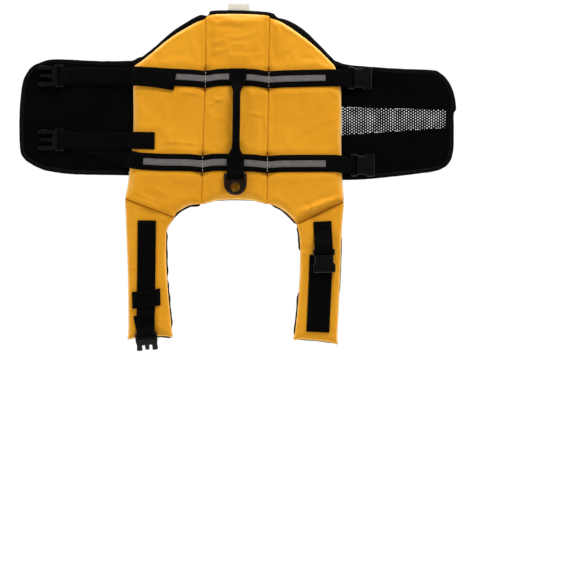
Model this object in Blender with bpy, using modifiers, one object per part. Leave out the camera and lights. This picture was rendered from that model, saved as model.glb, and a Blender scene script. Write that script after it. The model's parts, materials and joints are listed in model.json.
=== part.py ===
"""Dog life jacket laid flat with its outer face up.

Lengths in the tables are millimetres. The part's frame has +Z up, +Y toward the tail, +X to the
right, and its origin on the surface it lies on, under the middle of the jacket.
"""
import math

import bpy
import bmesh
from mathutils import Matrix, Vector

MM = 0.001

# Driving dimensions, in millimetres.
SEW_GAP = 0.2            # each piece stands this far back from the seam line it shares
LAY_GAP = 0.5            # between a piece and what lies on it
LINING_TOP = 4.1         # height of the lining half of a pad
OUTER_BASE = 4.4         # height where the outer half of a pad starts
EDGE_RISE = 1.2          # wall of the outer half at the pad's edge
EDGE_ROUND = 15.0        # the pad swells from its edge over this distance
BACK_CROWN = 12.5        # height of the back pads
NECK_CROWN = 9.6         # height of the neck straps
NECK_LIFT = 1.6          # the left neck strap's lining rises this much over the loop strip
CHANNEL_HALF = 5.0       # half the valley between two lining pads
HINGE_HEIGHT = 2.7       # the hinge strip lies this high in its valley
FLAP_THICK = 2.6
NET_THICK = 1.0
BIND_WIDTH = 6.5
BIND_THICK = 2.9
LABEL_THICK = 1.0
WEB_WIDTH = 25.0
WEB_THICK = 1.4
TAPE_WIDTH = 10.0
TAPE_THICK = 0.5
BAR_RADIUS = 2.0         # the bar that webbing turns round, on every buckle and on the ring
TURN_RADIUS = 3.1        # middle of the webbing as it turns round a bar
BUCKLE_WIDTH = 32.0
SOCKET_HEIGHT = 5.0
FEMALE_THICK = 7.8
MALE_THICK = 5.2
RING_WIDTH = 33.0
RING_THICK = 5.6
RING_HOLE = 6.8

# Colours as linear red, green, blue, then roughness.
YELLOW = (0.75, 0.34, 0.02, 0.45)
CHARCOAL = (0.03, 0.03, 0.03, 0.5)
VELOUR = (0.008, 0.008, 0.008, 0.95)
NET = (0.012, 0.012, 0.012, 0.8)
BLACK_WEB = (0.01, 0.01, 0.01, 0.8)
REFLECTIVE = (0.33, 0.32, 0.30, 0.35)
PLASTIC = (0.01, 0.01, 0.01, 0.3)
PALE_TAB = (0.7, 0.68, 0.62, 0.8)

# Outlines of the pads. Columns: x, y.
SIDE_LEFT = [(-148.3, 161), (-150.1, 130), (-150.1, 68), (-155.2, 13), (-158, -12), (-162, -31.5)]
SIDE_RIGHT = [(140.7, 162.4), (150.1, 133), (150.8, 50), (152.3, -3), (154.6, -36)]
CHANNEL_LEFT = [(-45.2, 233), (-45.7, 145), (-47.9, 83), (-50, 20), (-51.2, -38.9)]
CHANNEL_RIGHT = [(47.1, 232.5), (45.7, 141), (44.9, 80), (44.2, 20), (43.5, -38.9)]
DOME_LEFT = [(-148.3, 161), (-127, 180.1), (-105.9, 198.2), (-84.5, 213.2), (-63.2, 223.7), (-45.2, 230)]
DOME_CENTRE = [(-45.2, 233), (-38.9, 236.1), (4.4, 236.6), (40, 235), (47.1, 232.5)]
DOME_RIGHT = [(47.1, 230.6), (63.1, 225.6), (87.4, 210.1), (114.1, 188.9), (140.7, 162.4)]
NECK_EDGE_LEFT = [(-90.5, -59), (-88.5, -52.2), (-82.7, -47.9), (-68.6, -40.5), (-51.2, -38.9)]
NECK_EDGE_CENTRE = [(-51.2, -38.9), (-27.6, -33.4), (-3.8, -32.2), (21.8, -33.4), (43.5, -38.9)]
NECK_EDGE_RIGHT = [(43.5, -38.9), (54.1, -40.7), (70.2, -50), (81.8, -61.5), (87, -68.4)]
DIAGONAL_LEFT = [(-162, -31.5), (-90.5, -59)]
DIAGONAL_RIGHT = [(87, -68.4), (154.6, -36)]
STRAP_LEFT_OUTER = [(-162, -31.5), (-159.9, -82.4), (-157.6, -151.7), (-156.9, -233.9)]
STRAP_LEFT_INNER = [(-90.5, -59), (-100.9, -73.1), (-103.2, -89.3), (-102.8, -128.6),
                    (-99.8, -174.9), (-96.3, -209.5), (-95.1, -230.4)]
STRAP_RIGHT_OUTER = [(154.6, -36), (151.2, -82.4), (148.9, -151.7), (144.3, -241)]
STRAP_RIGHT_INNER = [(87, -68.4), (91.1, -87), (92.2, -117), (91.1, -151.7), (87.6, -197.9),
                     (83.4, -234.5)]

# Outer edges of the bindings, and the net wedge in the right flap. Columns: x, y.
FLAP_LEFT_EDGE = [(-150.8, 166.3), (-213, 167.5), (-268, 170), (-286, 165.3), (-300, 157.3), (-311, 138),
                  (-315.4, 104), (-316.4, 70), (-314.9, 39), (-311, 29), (-303, 21.5), (-280, 10.2),
                  (-242, 4.4), (-184, 2.9), (-157, 2.6)]
FLAP_RIGHT_EDGE = [(152, 163), (190, 159.3), (236, 157), (284, 154.6), (296, 149.5), (308, 137.5),
                   (315.4, 112), (316.9, 99), (315.6, 88), (313, 68), (313.2, 39), (306, 22.5),
                   (291.5, 10.9), (265, 5.5), (207, 0), (181, -3.4), (153.4, -3.6)]
BINDING_DOME_EDGE = [(-149, 166), (-143, 172.4), (-134, 177.2), (-116.4, 191.8), (-95.1, 210.6),
                     (-74, 224.6), (-54.8, 235), (-42, 234.6), (-37.7, 241.3), (4.4, 242.2),
                     (48.6, 239), (58.6, 232), (74, 227.5), (94.3, 216), (114.1, 197.8),
                     (140.7, 169.6), (149, 164.8)]
NET_REAR_LINE = [(152, 102), (309, 97.6)]
NET_FRONT_LINE = [(152, 61), (200, 63), (260, 69.5), (309, 72.2)]

# Centre lines of the belly straps. Columns: x, y. They dip a little at the stitched channels.
REAR_LINE = [(-247, 146.5), (-195, 147.2), (-148, 147.4), (-100, 144.6), (-66, 142.9), (-45.5, 141.4),
             (-25, 143.8), (4.4, 144.1), (25, 143.4), (45, 140.7), (65, 141.6), (100, 142.6), (141, 143.4)]
FRONT_LINE = [(-247, 53.7), (-205, 43), (-155.2, 25.6), (-120, 21.6), (-85, 20.8), (-68, 20.4),
              (-50, 18.9), (-32, 21), (-6, 20.9), (22, 20), (44, 18), (66, 19.2), (100, 19.5), (144, 19.4)]

# The loose tails, from their ends to the buckles. Columns: x, y, layers of webbing beneath.
REAR_TAIL = [(-92.8, 138.8, 1), (-148, 144.6, 1), (-246, 146.4, 1)]
FRONT_TAIL = [(-118.9, 52.2, 0), (-140, 52.6, 0), (-152, 52.8, 0), (-165, 53.0, 1), (-200, 53.3, 1),
              (-246, 53.7, 1)]

# Stretches of reflective tape. Columns: name, x from, x to, offset from the strap's centre line.
TAPES = [("tape_rear_left", -91.0, -12.0, 1.5), ("tape_rear_right", 14.2, 129.0, 1.5),
         ("tape_front_left", -137.0, -15.5, 0.0), ("tape_front_right", 11.0, 130.5, 0.0)]

# Belly buckles. Columns: x and y of the bar.
MALE_REAR, MALE_FRONT = (-254.0, 146.5), (-254.0, 53.7)
FEMALE_REAR, FEMALE_FRONT = (164.0, 143.5), (168.0, 17.0)
STRAP_SPAN = 7.0         # length of webbing between the last laid point and a belly buckle's bar

# The handle, from its tab at the tail to the turn round the lead ring's bar.
# Columns: x, y, height of its middle, width, thickness.
HANDLE_ROWS = [(1.3, 157.0, 15.6, 24.5, 1.6), (1.3, 137.0, 15.7, 24.5, 1.6), (0.6, 130.5, 17.0, 17.0, 3.4),
               (0.0, 124.0, 19.5, 11.5, 5.6), (-0.4, 110.0, 22.6, 11.0, 6.0), (-0.5, 95.0, 24.0, 11.0, 6.0),
               (-0.7, 80.0, 24.0, 11.0, 6.0), (-1.0, 62.0, 22.8, 11.0, 6.0), (-1.3, 48.0, 20.8, 11.2, 5.6),
               (-1.6, 40.0, 19.2, 13.0, 4.4), (-2.0, 33.5, 18.0, 20.0, 2.6), (-2.2, 28.0, 17.7, 24.6, 1.5),
               (-2.2, 12.0, 17.7, 25.0, 1.4), (-2.2, 6.5, 19.0, 25.0, 1.4)]
HANDLE_RETURN = [(-2.2, 7.4, 15.6, 25.0, 1.4), (-2.2, 27.0, 15.6, 25.0, 1.4)]
RING_BAR = (-2.2, 2.3, 16.9)
RING_ARMS = 13.4         # half the clear width between the ring's two arms
RING_BODY_TOP = -6.6     # the ring's body starts here, measured along y from its bar
RING_CENTRE = -12.4      # centre of the ring's round end, measured along y from its bar
HOLE_CENTRE = -17.4      # centre of the hole for the lead's hook, measured the same way

# Neck webbing. Columns: x, y, layers of webbing beneath.
NECK_LEFT_LINE = [(-130.5, -63, 0), (-131.0, -110, 0), (-131.8, -178, 0), (-132.0, -193, 0),
                  (-132.2, -200, 1), (-132.3, -208, 1), (-132.3, -217, 1)]
NECK_LEFT_RETURN = [(-132.4, -222, 0), (-134.4, -213, 0), (-136.4, -203, 0)]
NECK_LEFT_BAR = (-131.6, -229.0, 13.9)
NECK_LEFT_HEADING = -85.0
NECK_LEFT_PITCH = 23.0
NECK_PRONGS = 0.52       # the neck buckle's prongs, as a share of the belly buckles'
NECK_RIGHT_LINE = [(123.7, -66.0), (124.6, -80.0)]
NECK_RIGHT_RISE = [(124.9, -87.0, 13.2), (125.3, -97.0, 17.2)]       # x, y, height
NECK_RIGHT_RETURN = [(125.5, -100.0, 11.8), (125.1, -89.0, 10.9)]
NECK_RIGHT_BAR = (125.9, -107.3, 15.8)
NECK_RIGHT_HEADING = -88.0
KEEPER_ROWS = [(-152.0, -182.2, 0), (-149.8, -181.8, 0), (-147.2, -181.5, 1), (-116.8, -177.4, 1),
               (-114.2, -177.1, 0), (-111.0, -176.4, 0)]
HOOK_STRIP_LINE = [(121.3, -114.9), (119.4, -165.0), (116.7, -223.3)]
HOOK_STRIP_WIDTH = 32.5
LOOP_STRIP_BOX = (-151.5, -219.0, -119.6, -105.9)    # x from, y from, x to, y to
LABEL_BOX = (-13.0, 236.9, 18.1, 252.3)

# Corners of webbing's section with its edges worn round, as shares of half its width and thickness.
WEB_CORNERS = [(-1, -0.4), (-0.9, -1), (0.9, -1), (1, -0.4), (1, 0.4), (0.9, 1), (-0.9, 1), (-1, 0.4)]

EDGE_STEPS = (0.0, 2.0, 5.5, 10.0, 16.0)    # distances from a pad's edge where its mesh has a line


def smooth_point(points, share):
    """The point at a share of a smooth curve through the points."""
    last = len(points) - 1
    place = min(max(share, 0.0), 1.0) * last
    i = min(int(place), last - 1)
    t = place - i
    before = points[i - 1] if i > 0 else points[i]
    after = points[i + 2] if i + 2 <= last else points[i + 1]
    result = []
    for a, b, c, d in zip(before, points[i], points[i + 1], after):
        result.append(0.5 * (2 * b + (c - a) * t + (2 * a - 5 * b + 4 * c - d) * t * t
                             + (3 * b - 3 * c + d - a) * t ** 3))
    return result


def even_points(points, step):
    """Points along the smooth curve, about one step apart."""
    fine = [smooth_point(points, i / 200) for i in range(201)]
    lengths = [0.0]
    for a, b in zip(fine, fine[1:]):
        lengths.append(lengths[-1] + math.dist(a[:2], b[:2]))
    count = max(1, round(lengths[-1] / step))
    result = []
    j = 0
    for i in range(count + 1):
        target = lengths[-1] * i / count
        while j < 199 and lengths[j + 1] < target:
            j += 1
        span = lengths[j + 1] - lengths[j]
        t = (target - lengths[j]) / span if span else 0.0
        result.append([a + (b - a) * t for a, b in zip(fine[j], fine[j + 1])])
    return result


def fine_line(*curves):
    """One line of close points through several smooth curves, with corners where they meet."""
    line = []
    for points in curves:
        count = 6 * (len(points) - 1)
        line += [tuple(smooth_point(points, i / count)) for i in range(count + 1)]
    return line


def crossing(line, value, axis):
    """The other coordinate where a line reaches a value along an axis, 0 for x or 1 for y."""
    other = 1 - axis
    ends = sorted((line[0], line[-1]), key=lambda point: point[axis])
    if value <= ends[0][axis]:
        return ends[0][other]
    for near, far in zip(line, line[1:]):
        low, high = sorted((near, far), key=lambda point: point[axis])
        if low[axis] <= value <= high[axis] and high[axis] > low[axis]:
            share = (value - low[axis]) / (high[axis] - low[axis])
            return low[other] + (high[other] - low[other]) * share
    return ends[1][other]


def offset_line(points, distance):
    """The points moved sideways, to the right of their direction."""
    result = []
    for i, (x, y) in enumerate(points):
        x0, y0 = points[max(i - 1, 0)]
        x1, y1 = points[min(i + 1, len(points) - 1)]
        length = math.hypot(x1 - x0, y1 - y0)
        result.append((x + (y1 - y0) / length * distance, y - (x1 - x0) / length * distance))
    return result


def edge_distance(outline, x, y):
    """Distance from a place to the outline, zero outside it."""
    inside = False
    nearest = 1e9
    for (x0, y0), (x1, y1) in zip(outline, outline[1:] + outline[:1]):
        if (y0 > y) != (y1 > y) and x < x0 + (y - y0) / (y1 - y0) * (x1 - x0):
            inside = not inside
        dx, dy = x1 - x0, y1 - y0
        length2 = dx * dx + dy * dy
        t = min(max(((x - x0) * dx + (y - y0) * dy) / length2, 0.0), 1.0) if length2 else 0.0
        nearest = min(nearest, math.hypot(x - x0 - t * dx, y - y0 - t * dy))
    return nearest if inside else 0.0


class Pad:
    """A pad between four edges, its outer half swelling from the edges to the crown."""

    def __init__(self, name, rear, front, left, right, crown):
        self.name = name
        self.rear, self.front, self.left, self.right = rear, front, left, right
        self.crown = crown
        self.width = math.dist(self.patch(0, 0.5), self.patch(1, 0.5))
        self.length = math.dist(self.patch(0.5, 0), self.patch(0.5, 1))
        self.outline = self.border(SEW_GAP, SEW_GAP)

    def patch(self, u, v):
        """The plan position at u from left to right and v from rear to front."""
        corners = self.rear[0], self.rear[-1], self.front[0], self.front[-1]
        rear_x = corners[0][0] + (corners[1][0] - corners[0][0]) * u
        front_x = corners[2][0] + (corners[3][0] - corners[2][0]) * u
        left_y = corners[0][1] + (corners[2][1] - corners[0][1]) * v
        right_y = corners[1][1] + (corners[3][1] - corners[1][1]) * v
        rear = rear_x, crossing(self.rear, rear_x, 0)
        front = front_x, crossing(self.front, front_x, 0)
        left = crossing(self.left, left_y, 1), left_y
        right = crossing(self.right, right_y, 1), right_y
        result = []
        for i in range(2):
            ruled = (1 - v) * rear[i] + v * front[i] + (1 - u) * left[i] + u * right[i]
            bilinear = (1 - v) * ((1 - u) * corners[0][i] + u * corners[1][i])
            bilinear += v * ((1 - u) * corners[2][i] + u * corners[3][i])
            result.append(ruled - bilinear)
        return result

    def place(self, u, v, left=SEW_GAP, right=SEW_GAP):
        """A plan position within the pad, set back from its edges."""
        low, high = left / self.width, 1 - right / self.width
        end = SEW_GAP / self.length
        return self.patch(low + (high - low) * u, end + (1 - 2 * end) * v)

    def border(self, left, right):
        """Points round the pad, set back from its left and right edges."""
        across, along = 14, 20
        points = [self.place(i / across, 0, left, right) for i in range(across)]
        points += [self.place(1, i / along, left, right) for i in range(along)]
        points += [self.place(1 - i / across, 1, left, right) for i in range(across)]
        points += [self.place(0, 1 - i / along, left, right) for i in range(along)]
        return [tuple(point) for point in points]

    def height(self, x, y):
        """Height of the outer face, zero outside the pad."""
        distance = edge_distance(self.outline, x, y)
        if distance <= 0.0:
            return 0.0
        t = 1 - min(distance / EDGE_ROUND, 1.0)
        low = OUTER_BASE + EDGE_RISE
        return low + (self.crown - low) * math.sqrt(1 - t * t)


def pad_steps(length, middle):
    """Shares of a length: close together at both ends, and a given number of steps between."""
    near = [step / length for step in EDGE_STEPS]
    gap = (1 - 2 * near[-1]) / middle
    inner = [near[-1] + gap * i for i in range(1, middle)]
    return near + inner + [1 - t for t in reversed(near)]


def metres(point):
    return Vector((point[0] * MM, point[1] * MM, point[2] * MM))


def material(name, look):
    found = bpy.data.materials.get(name)
    if found:
        return found
    made = bpy.data.materials.new(name)
    made.use_nodes = True
    shader = made.node_tree.nodes["Principled BSDF"]
    shader.inputs["Base Color"].default_value = (*look[:3], 1.0)
    shader.inputs["Roughness"].default_value = look[3]
    shader.inputs["Metallic"].default_value = 0.0
    made.diffuse_color = (*look[:3], 1.0)
    return made


def add_object(name, mesh, cloth):
    obj = bpy.data.objects.new(name, mesh)
    mesh.materials.clear()
    mesh.materials.append(material(*cloth))
    bpy.data.collections["dog_life_jacket"].objects.link(obj)
    obj.parent = bpy.data.objects["jacket_frame"]
    return obj


CLOTHS = {
    "outer": ("outer_nylon", YELLOW),
    "lining": ("lining_nylon", CHARCOAL),
    "velour": ("flap_velour", VELOUR),
    "net": ("flap_net", NET),
    "web": ("webbing", BLACK_WEB),
    "binding": ("binding_tape", BLACK_WEB),
    "tape": ("reflective_tape", REFLECTIVE),
    "hook": ("hook_and_loop", VELOUR),
    "plastic": ("buckle_plastic", PLASTIC),
    "label": ("label_tape", PALE_TAB),
}


def mesh_from(bm, name):
    bmesh.ops.recalc_face_normals(bm, faces=bm.faces[:])
    mesh = bpy.data.meshes.new(name)
    bm.to_mesh(mesh)
    bm.free()
    return mesh


def add_outer_pad(pad):
    """The outer half of a pad: a grid that swells from its edges, over a flat base."""
    us, vs = pad_steps(pad.width, 3), pad_steps(pad.length, 8)
    bm = bmesh.new()
    grid = []
    for v in vs:
        row = []
        for u in us:
            x, y = pad.place(u, v)
            z = pad.height(x, y) or OUTER_BASE + EDGE_RISE
            if u in (0.0, 1.0) or v in (0.0, 1.0):
                z = OUTER_BASE + EDGE_RISE
            row.append(bm.verts.new(metres((x, y, z))))
        grid.append(row)
    for near, far in zip(grid, grid[1:]):
        for i in range(len(us) - 1):
            bm.faces.new((near[i], near[i + 1], far[i + 1], far[i]))
    rim = grid[0][:-1] + [row[-1] for row in grid[:-1]] + grid[-1][:0:-1]
    rim += [row[0] for row in grid[:0:-1]]
    base = [bm.verts.new((v.co.x, v.co.y, OUTER_BASE * MM)) for v in rim]
    for i in range(len(rim)):
        j = (i + 1) % len(rim)
        bm.faces.new((rim[i], rim[j], base[j], base[i]))
    bm.faces.new(base)
    add_object("outer_" + pad.name, mesh_from(bm, pad.name), CLOTHS["outer"])


def plate(name, outline, bottom, top, holes=()):
    """A flat plate as a filled 2D curve. The result is a mesh object with welded caps."""
    curve = bpy.data.curves.new(name, "CURVE")
    curve.dimensions = "2D"
    curve.fill_mode = "BOTH"
    curve.extrude = (top - bottom) / 2 * MM
    for points in (outline, *holes):
        spline = curve.splines.new("POLY")
        spline.points.add(len(points) - 1)
        for target, (x, y) in zip(spline.points, points):
            target.co = (x * MM, y * MM, 0.0, 1.0)
        spline.use_cyclic_u = True
    source = bpy.data.objects.new(name + "_curve", curve)
    bpy.context.scene.collection.objects.link(source)
    source.location.z = (top + bottom) / 2 * MM
    bpy.context.view_layer.update()
    mesh = bpy.data.meshes.new_from_object(source.evaluated_get(bpy.context.evaluated_depsgraph_get()))
    mesh.transform(source.matrix_world)
    bm = bmesh.new()
    bm.from_mesh(mesh)
    bmesh.ops.remove_doubles(bm, verts=bm.verts[:], dist=0.00001)
    bm.to_mesh(mesh)
    bm.free()
    bpy.data.objects.remove(source)
    return mesh


def add_plate(name, cloth, outline, bottom, top, round_edge=0.0, holes=()):
    obj = add_object(name, plate(name, outline, bottom, top, holes), CLOTHS[cloth])
    if round_edge:
        rounding = obj.modifiers.new("rounding", "BEVEL")
        rounding.width = round_edge * MM
        rounding.segments = 1
        rounding.limit_method = "ANGLE"
        rounding.angle_limit = math.radians(50)
    return obj


def route_sides(route):
    """Sideways directions along a route, level and turning with it, also where it doubles back."""
    sides = []
    for i in range(len(route)):
        ahead = Vector(route[min(i + 1, len(route) - 1)][:2]) - Vector(route[max(i - 1, 0)][:2])
        if ahead.length < 1.0 and sides:
            sides.append(sides[-1])
            continue
        side = Vector((-ahead.y, ahead.x)).normalized()
        if sides and side.dot(sides[-1]) < 0:
            side = -side
        sides.append(side)
    return sides


def add_band(name, cloth, route, width, thick, sides=None):
    """A flat band whose middle follows a route, as an open strip with Solidify."""
    bm = bmesh.new()
    rows = []
    for (x, y, z), side in zip(route, sides or route_sides(route)):
        left = bm.verts.new(metres((x + side.x * width / 2, y + side.y * width / 2, z)))
        right = bm.verts.new(metres((x - side.x * width / 2, y - side.y * width / 2, z)))
        rows.append((left, right))
    for (a, b), (c, d) in zip(rows, rows[1:]):
        bm.faces.new((a, b, d, c))
    obj = add_object(name, mesh_from(bm, name), CLOTHS[cloth])
    wall = obj.modifiers.new("wall", "SOLIDIFY")
    wall.thickness = thick * MM
    wall.offset = 0.0
    wall.use_even_offset = True
    return obj


def add_ribbon(name, cloth, outer, inner, bottom, top):
    """A flat ribbon between two edges that have the same number of points."""
    bm = bmesh.new()
    rows = []
    for (x0, y0), (x1, y1) in zip(outer, inner):
        rows.append((bm.verts.new(metres((x0, y0, bottom))), bm.verts.new(metres((x1, y1, bottom)))))
    faces = [bm.faces.new((a, b, d, c)) for (a, b), (c, d) in zip(rows, rows[1:])]
    raised = bmesh.ops.extrude_face_region(bm, geom=faces)
    lifted = [item for item in raised["geom"] if isinstance(item, bmesh.types.BMVert)]
    bmesh.ops.translate(bm, verts=lifted, vec=(0, 0, (top - bottom) * MM))
    add_object(name, mesh_from(bm, name), CLOTHS[cloth])


def carried_height(pads, x, y, side, half_width):
    """Height that a band's underside clears at a place: the highest thing within its width."""
    highest = FLAP_THICK if abs(x) > 150 and y > -10 else 0.0
    ahead = Vector((-side.y, side.x))
    for across in (-1.0, -0.5, 0.0, 0.5, 1.0):
        for along in (-5.0, 0.0, 5.0):
            px = x + side.x * half_width * across + ahead.x * along
            py = y + side.y * half_width * across + ahead.y * along
            for pad in pads:
                highest = max(highest, pad.height(px, py))
    return highest


def laid_rows(pads, rows, width, thick):
    """Route of a band through rows of x, y and layers of webbing beneath it."""
    route = []
    for (x, y, layers), side in zip(rows, route_sides(rows)):
        z = carried_height(pads, x, y, side, width / 2) + LAY_GAP + thick / 2
        route.append((x, y, z + layers * (WEB_THICK + LAY_GAP)))
    return route


def laid_route(pads, line, width=WEB_WIDTH, thick=WEB_THICK, step=6.0):
    """Route of a band laid along a smooth plan line."""
    rows = [tuple(row) if len(row) == 3 else (*row, 0) for row in line]
    return laid_rows(pads, even_points(rows, step), width, thick)


def turn_route(bar, heading, downward=True):
    """Half a turn round a bar, at its side that faces the heading."""
    direction = Vector((math.cos(math.radians(heading)), math.sin(math.radians(heading))))
    angles = [90 - 30 * i for i in range(7)]
    if not downward:
        angles.reverse()
    route = []
    for angle in angles:
        out = TURN_RADIUS * math.cos(math.radians(angle))
        up = TURN_RADIUS * math.sin(math.radians(angle))
        route.append((bar[0] + direction.x * out, bar[1] + direction.y * out, bar[2] + up))
    return route


def box_cutter(name, centre, size):
    bpy.ops.mesh.primitive_cube_add(size=1)
    obj = bpy.context.active_object
    obj.name = name
    obj.data.transform(Matrix.LocRotScale(Vector(centre) * MM, None, Vector(size) * MM))
    for collection in list(obj.users_collection):
        collection.objects.unlink(obj)
    bpy.data.collections["cutters"].objects.link(obj)
    obj.hide_render = True
    obj.display_type = "WIRE"
    return obj


def bar_tool(name, length):
    """The round bar that webbing turns round, along y through the origin."""
    bm = bmesh.new()
    bmesh.ops.create_cone(bm, cap_ends=True, segments=16, radius1=BAR_RADIUS * MM, radius2=BAR_RADIUS * MM,
                          depth=length * MM, matrix=Matrix.Rotation(math.pi / 2, 4, "X"))
    mesh = bpy.data.meshes.new(name)
    bm.to_mesh(mesh)
    bm.free()
    obj = bpy.data.objects.new(name, mesh)
    bpy.data.collections["cutters"].objects.link(obj)
    obj.hide_render = True
    obj.display_type = "WIRE"
    return obj


def combine(obj, tools):
    """Cut and join the tools in order. Each is a pair of operation and object in the piece's own frame."""
    for operation, tool in tools:
        tool.parent = obj
        step = obj.modifiers.new(tool.name, "BOOLEAN")
        step.operation = operation
        step.object = tool


def set_frame(obj, place, heading, pitch=0.0):
    """Put a piece's own origin at a place, its x axis along the heading and dipping by the pitch."""
    obj.location = Vector(place) * MM
    obj.rotation_euler = (0.0, math.radians(pitch), math.radians(heading))


def male_outline(prongs):
    """Outline of a male buckle from its bar end, with the prongs' length scaled."""
    half = BUCKLE_WIDTH / 2
    base = 12.0
    reach = [(0, 13.2), (8, 13.6), (16, 15.2), (19, 15), (22.5, 11.8), (22, 9.6), (18, 9.2), (2, 9.2),
             (1, 8), (1, 2.4), (18.5, 1.9), (20, 0)]
    upper = [(-2.6, half), (8.5, half)] + [(base + x * prongs, y) for x, y in reach]
    return upper + [(x, -y) for x, y in reversed(upper[:-1])]


def add_male_buckle(name, place, heading, pitch=0.0, prongs=1.0):
    half = MALE_THICK / 2
    obj = add_plate(name, "plastic", male_outline(prongs), -half, half, 0.5)
    slot = box_cutter(name + "_slot", (1.4, 0, 0), (9.6, 26.6, 12))
    bar = bar_tool(name + "_bar", 29.0)
    combine(obj, [("DIFFERENCE", slot), ("UNION", bar)])
    set_frame(obj, place, heading, pitch)


def female_outline():
    half = BUCKLE_WIDTH / 2
    upper = [(-2.6, half), (5, half), (8, 13.4), (17, 13.4), (20, half), (30, half), (31.5, half - 1.5)]
    return upper + [(x, -y) for x, y in reversed(upper)]


def add_female_buckle(name, place, heading):
    half = FEMALE_THICK / 2
    obj = add_plate(name, "plastic", female_outline(), -half, half, 0.8)
    slot = box_cutter(name + "_slot", (1.4, 0, 0), (9.6, 26.6, 12))
    socket = box_cutter(name + "_socket", (21.5, 0, 0), (24.0, 23.0, SOCKET_HEIGHT))
    windows = box_cutter(name + "_windows", (12.9, 0, 0), (6.8, 40.0, SOCKET_HEIGHT - 0.6))
    bar = bar_tool(name + "_bar", 29.0)
    combine(obj, [("DIFFERENCE", slot), ("DIFFERENCE", socket), ("DIFFERENCE", windows), ("UNION", bar)])
    set_frame(obj, place, heading)


def arc(cx, cy, radius, start, end, count):
    angles = [math.radians(start + (end - start) * i / count) for i in range(count + 1)]
    return [(cx + radius * math.cos(a), cy + radius * math.sin(a)) for a in angles]


def add_lead_ring():
    """The moulded ring: a round bar between two arms, and a heavy body with a round hole."""
    half = RING_WIDTH / 2
    outline = [(-half, 2.4)] + arc(0, RING_CENTRE, half, 180, 360, 20) + [(half, 2.4), (RING_ARMS, 2.4)]
    outline += [(RING_ARMS, RING_BODY_TOP), (-RING_ARMS, RING_BODY_TOP), (-RING_ARMS, 2.4)]
    hole = arc(0, HOLE_CENTRE, RING_HOLE, 0, 340, 17)
    thick = RING_THICK / 2
    obj = add_plate("lead_ring", "plastic", outline, -thick, thick, 0.6, [hole])
    bar = bar_tool("lead_ring_bar", RING_WIDTH - 3.0)
    bar.data.transform(Matrix.Rotation(math.pi / 2, 4, "Z"))
    combine(obj, [("UNION", bar)])
    obj.location = Vector(RING_BAR) * MM
    return obj


def add_handle():
    """The handle: webbing folded to a grip between its tabs, its end turned round the ring's bar."""
    rows = list(HANDLE_ROWS)
    for x, y, z in turn_route(RING_BAR, -90.0):
        rows.append((x, y, z, WEB_WIDTH, WEB_THICK))
    rows += HANDLE_RETURN
    bm = bmesh.new()
    sections = []
    for i, (x, y, z, width, thick) in enumerate(rows):
        before, after = rows[max(i - 1, 0)], rows[min(i + 1, len(rows) - 1)]
        ahead = Vector((after[1] - before[1], after[2] - before[2])).normalized()
        out = (-ahead.y, ahead.x)
        section = []
        for across, up in WEB_CORNERS:
            offset = up * thick / 2
            section.append(bm.verts.new(metres((x + across * width / 2, y + out[0] * offset,
                                                z + out[1] * offset))))
        sections.append(section)
    for near, far in zip(sections, sections[1:]):
        for i in range(8):
            j = (i + 1) % 8
            bm.faces.new((near[i], near[j], far[j], far[i]))
    bm.faces.new(sections[0])
    bm.faces.new(sections[-1])
    add_object("handle", mesh_from(bm, "handle"), CLOTHS["web"])


def make_pads():
    """The five pads. Each is given by its rear, front, left and right edges."""
    side_left, side_right = fine_line(SIDE_LEFT), fine_line(SIDE_RIGHT)
    channel_left, channel_right = fine_line(CHANNEL_LEFT), fine_line(CHANNEL_RIGHT)
    return [
        Pad("back_left", fine_line(DOME_LEFT), fine_line(DIAGONAL_LEFT, NECK_EDGE_LEFT),
            side_left, channel_left, BACK_CROWN),
        Pad("back_centre", fine_line(DOME_CENTRE), fine_line(NECK_EDGE_CENTRE),
            channel_left, channel_right, BACK_CROWN),
        Pad("back_right", fine_line(DOME_RIGHT), fine_line(NECK_EDGE_RIGHT, DIAGONAL_RIGHT),
            channel_right, side_right, BACK_CROWN),
        Pad("neck_left", fine_line(DIAGONAL_LEFT), [STRAP_LEFT_OUTER[-1], STRAP_LEFT_INNER[-1]],
            fine_line(STRAP_LEFT_OUTER), fine_line(STRAP_LEFT_INNER), NECK_CROWN),
        Pad("neck_right", fine_line(DIAGONAL_RIGHT), [STRAP_RIGHT_INNER[-1], STRAP_RIGHT_OUTER[-1]],
            fine_line(STRAP_RIGHT_INNER), fine_line(STRAP_RIGHT_OUTER), NECK_CROWN),
    ]


def add_linings(pads):
    """The lining half of each pad, set back from the channels. Columns: insets left and right, height."""
    rows = [(SEW_GAP, CHANNEL_HALF, 0), (CHANNEL_HALF, CHANNEL_HALF, 0), (CHANNEL_HALF, SEW_GAP, 0),
            (SEW_GAP, SEW_GAP, NECK_LIFT), (SEW_GAP, SEW_GAP, 0)]
    for pad, (left, right, bottom) in zip(pads, rows):
        add_plate("lining_" + pad.name, "lining", pad.border(left, right), bottom, LINING_TOP, 0.6)


def add_hinges():
    half = CHANNEL_HALF - 1.4
    for name, channel in (("hinge_left", CHANNEL_LEFT), ("hinge_right", CHANNEL_RIGHT)):
        line = [point for point in fine_line(channel) if -36 < point[1] < 229]
        outline = [(x - half, y) for x, y in line] + [(x + half, y) for x, y in reversed(line)]
        add_plate(name, "lining", outline, HINGE_HEIGHT, LINING_TOP)


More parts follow.
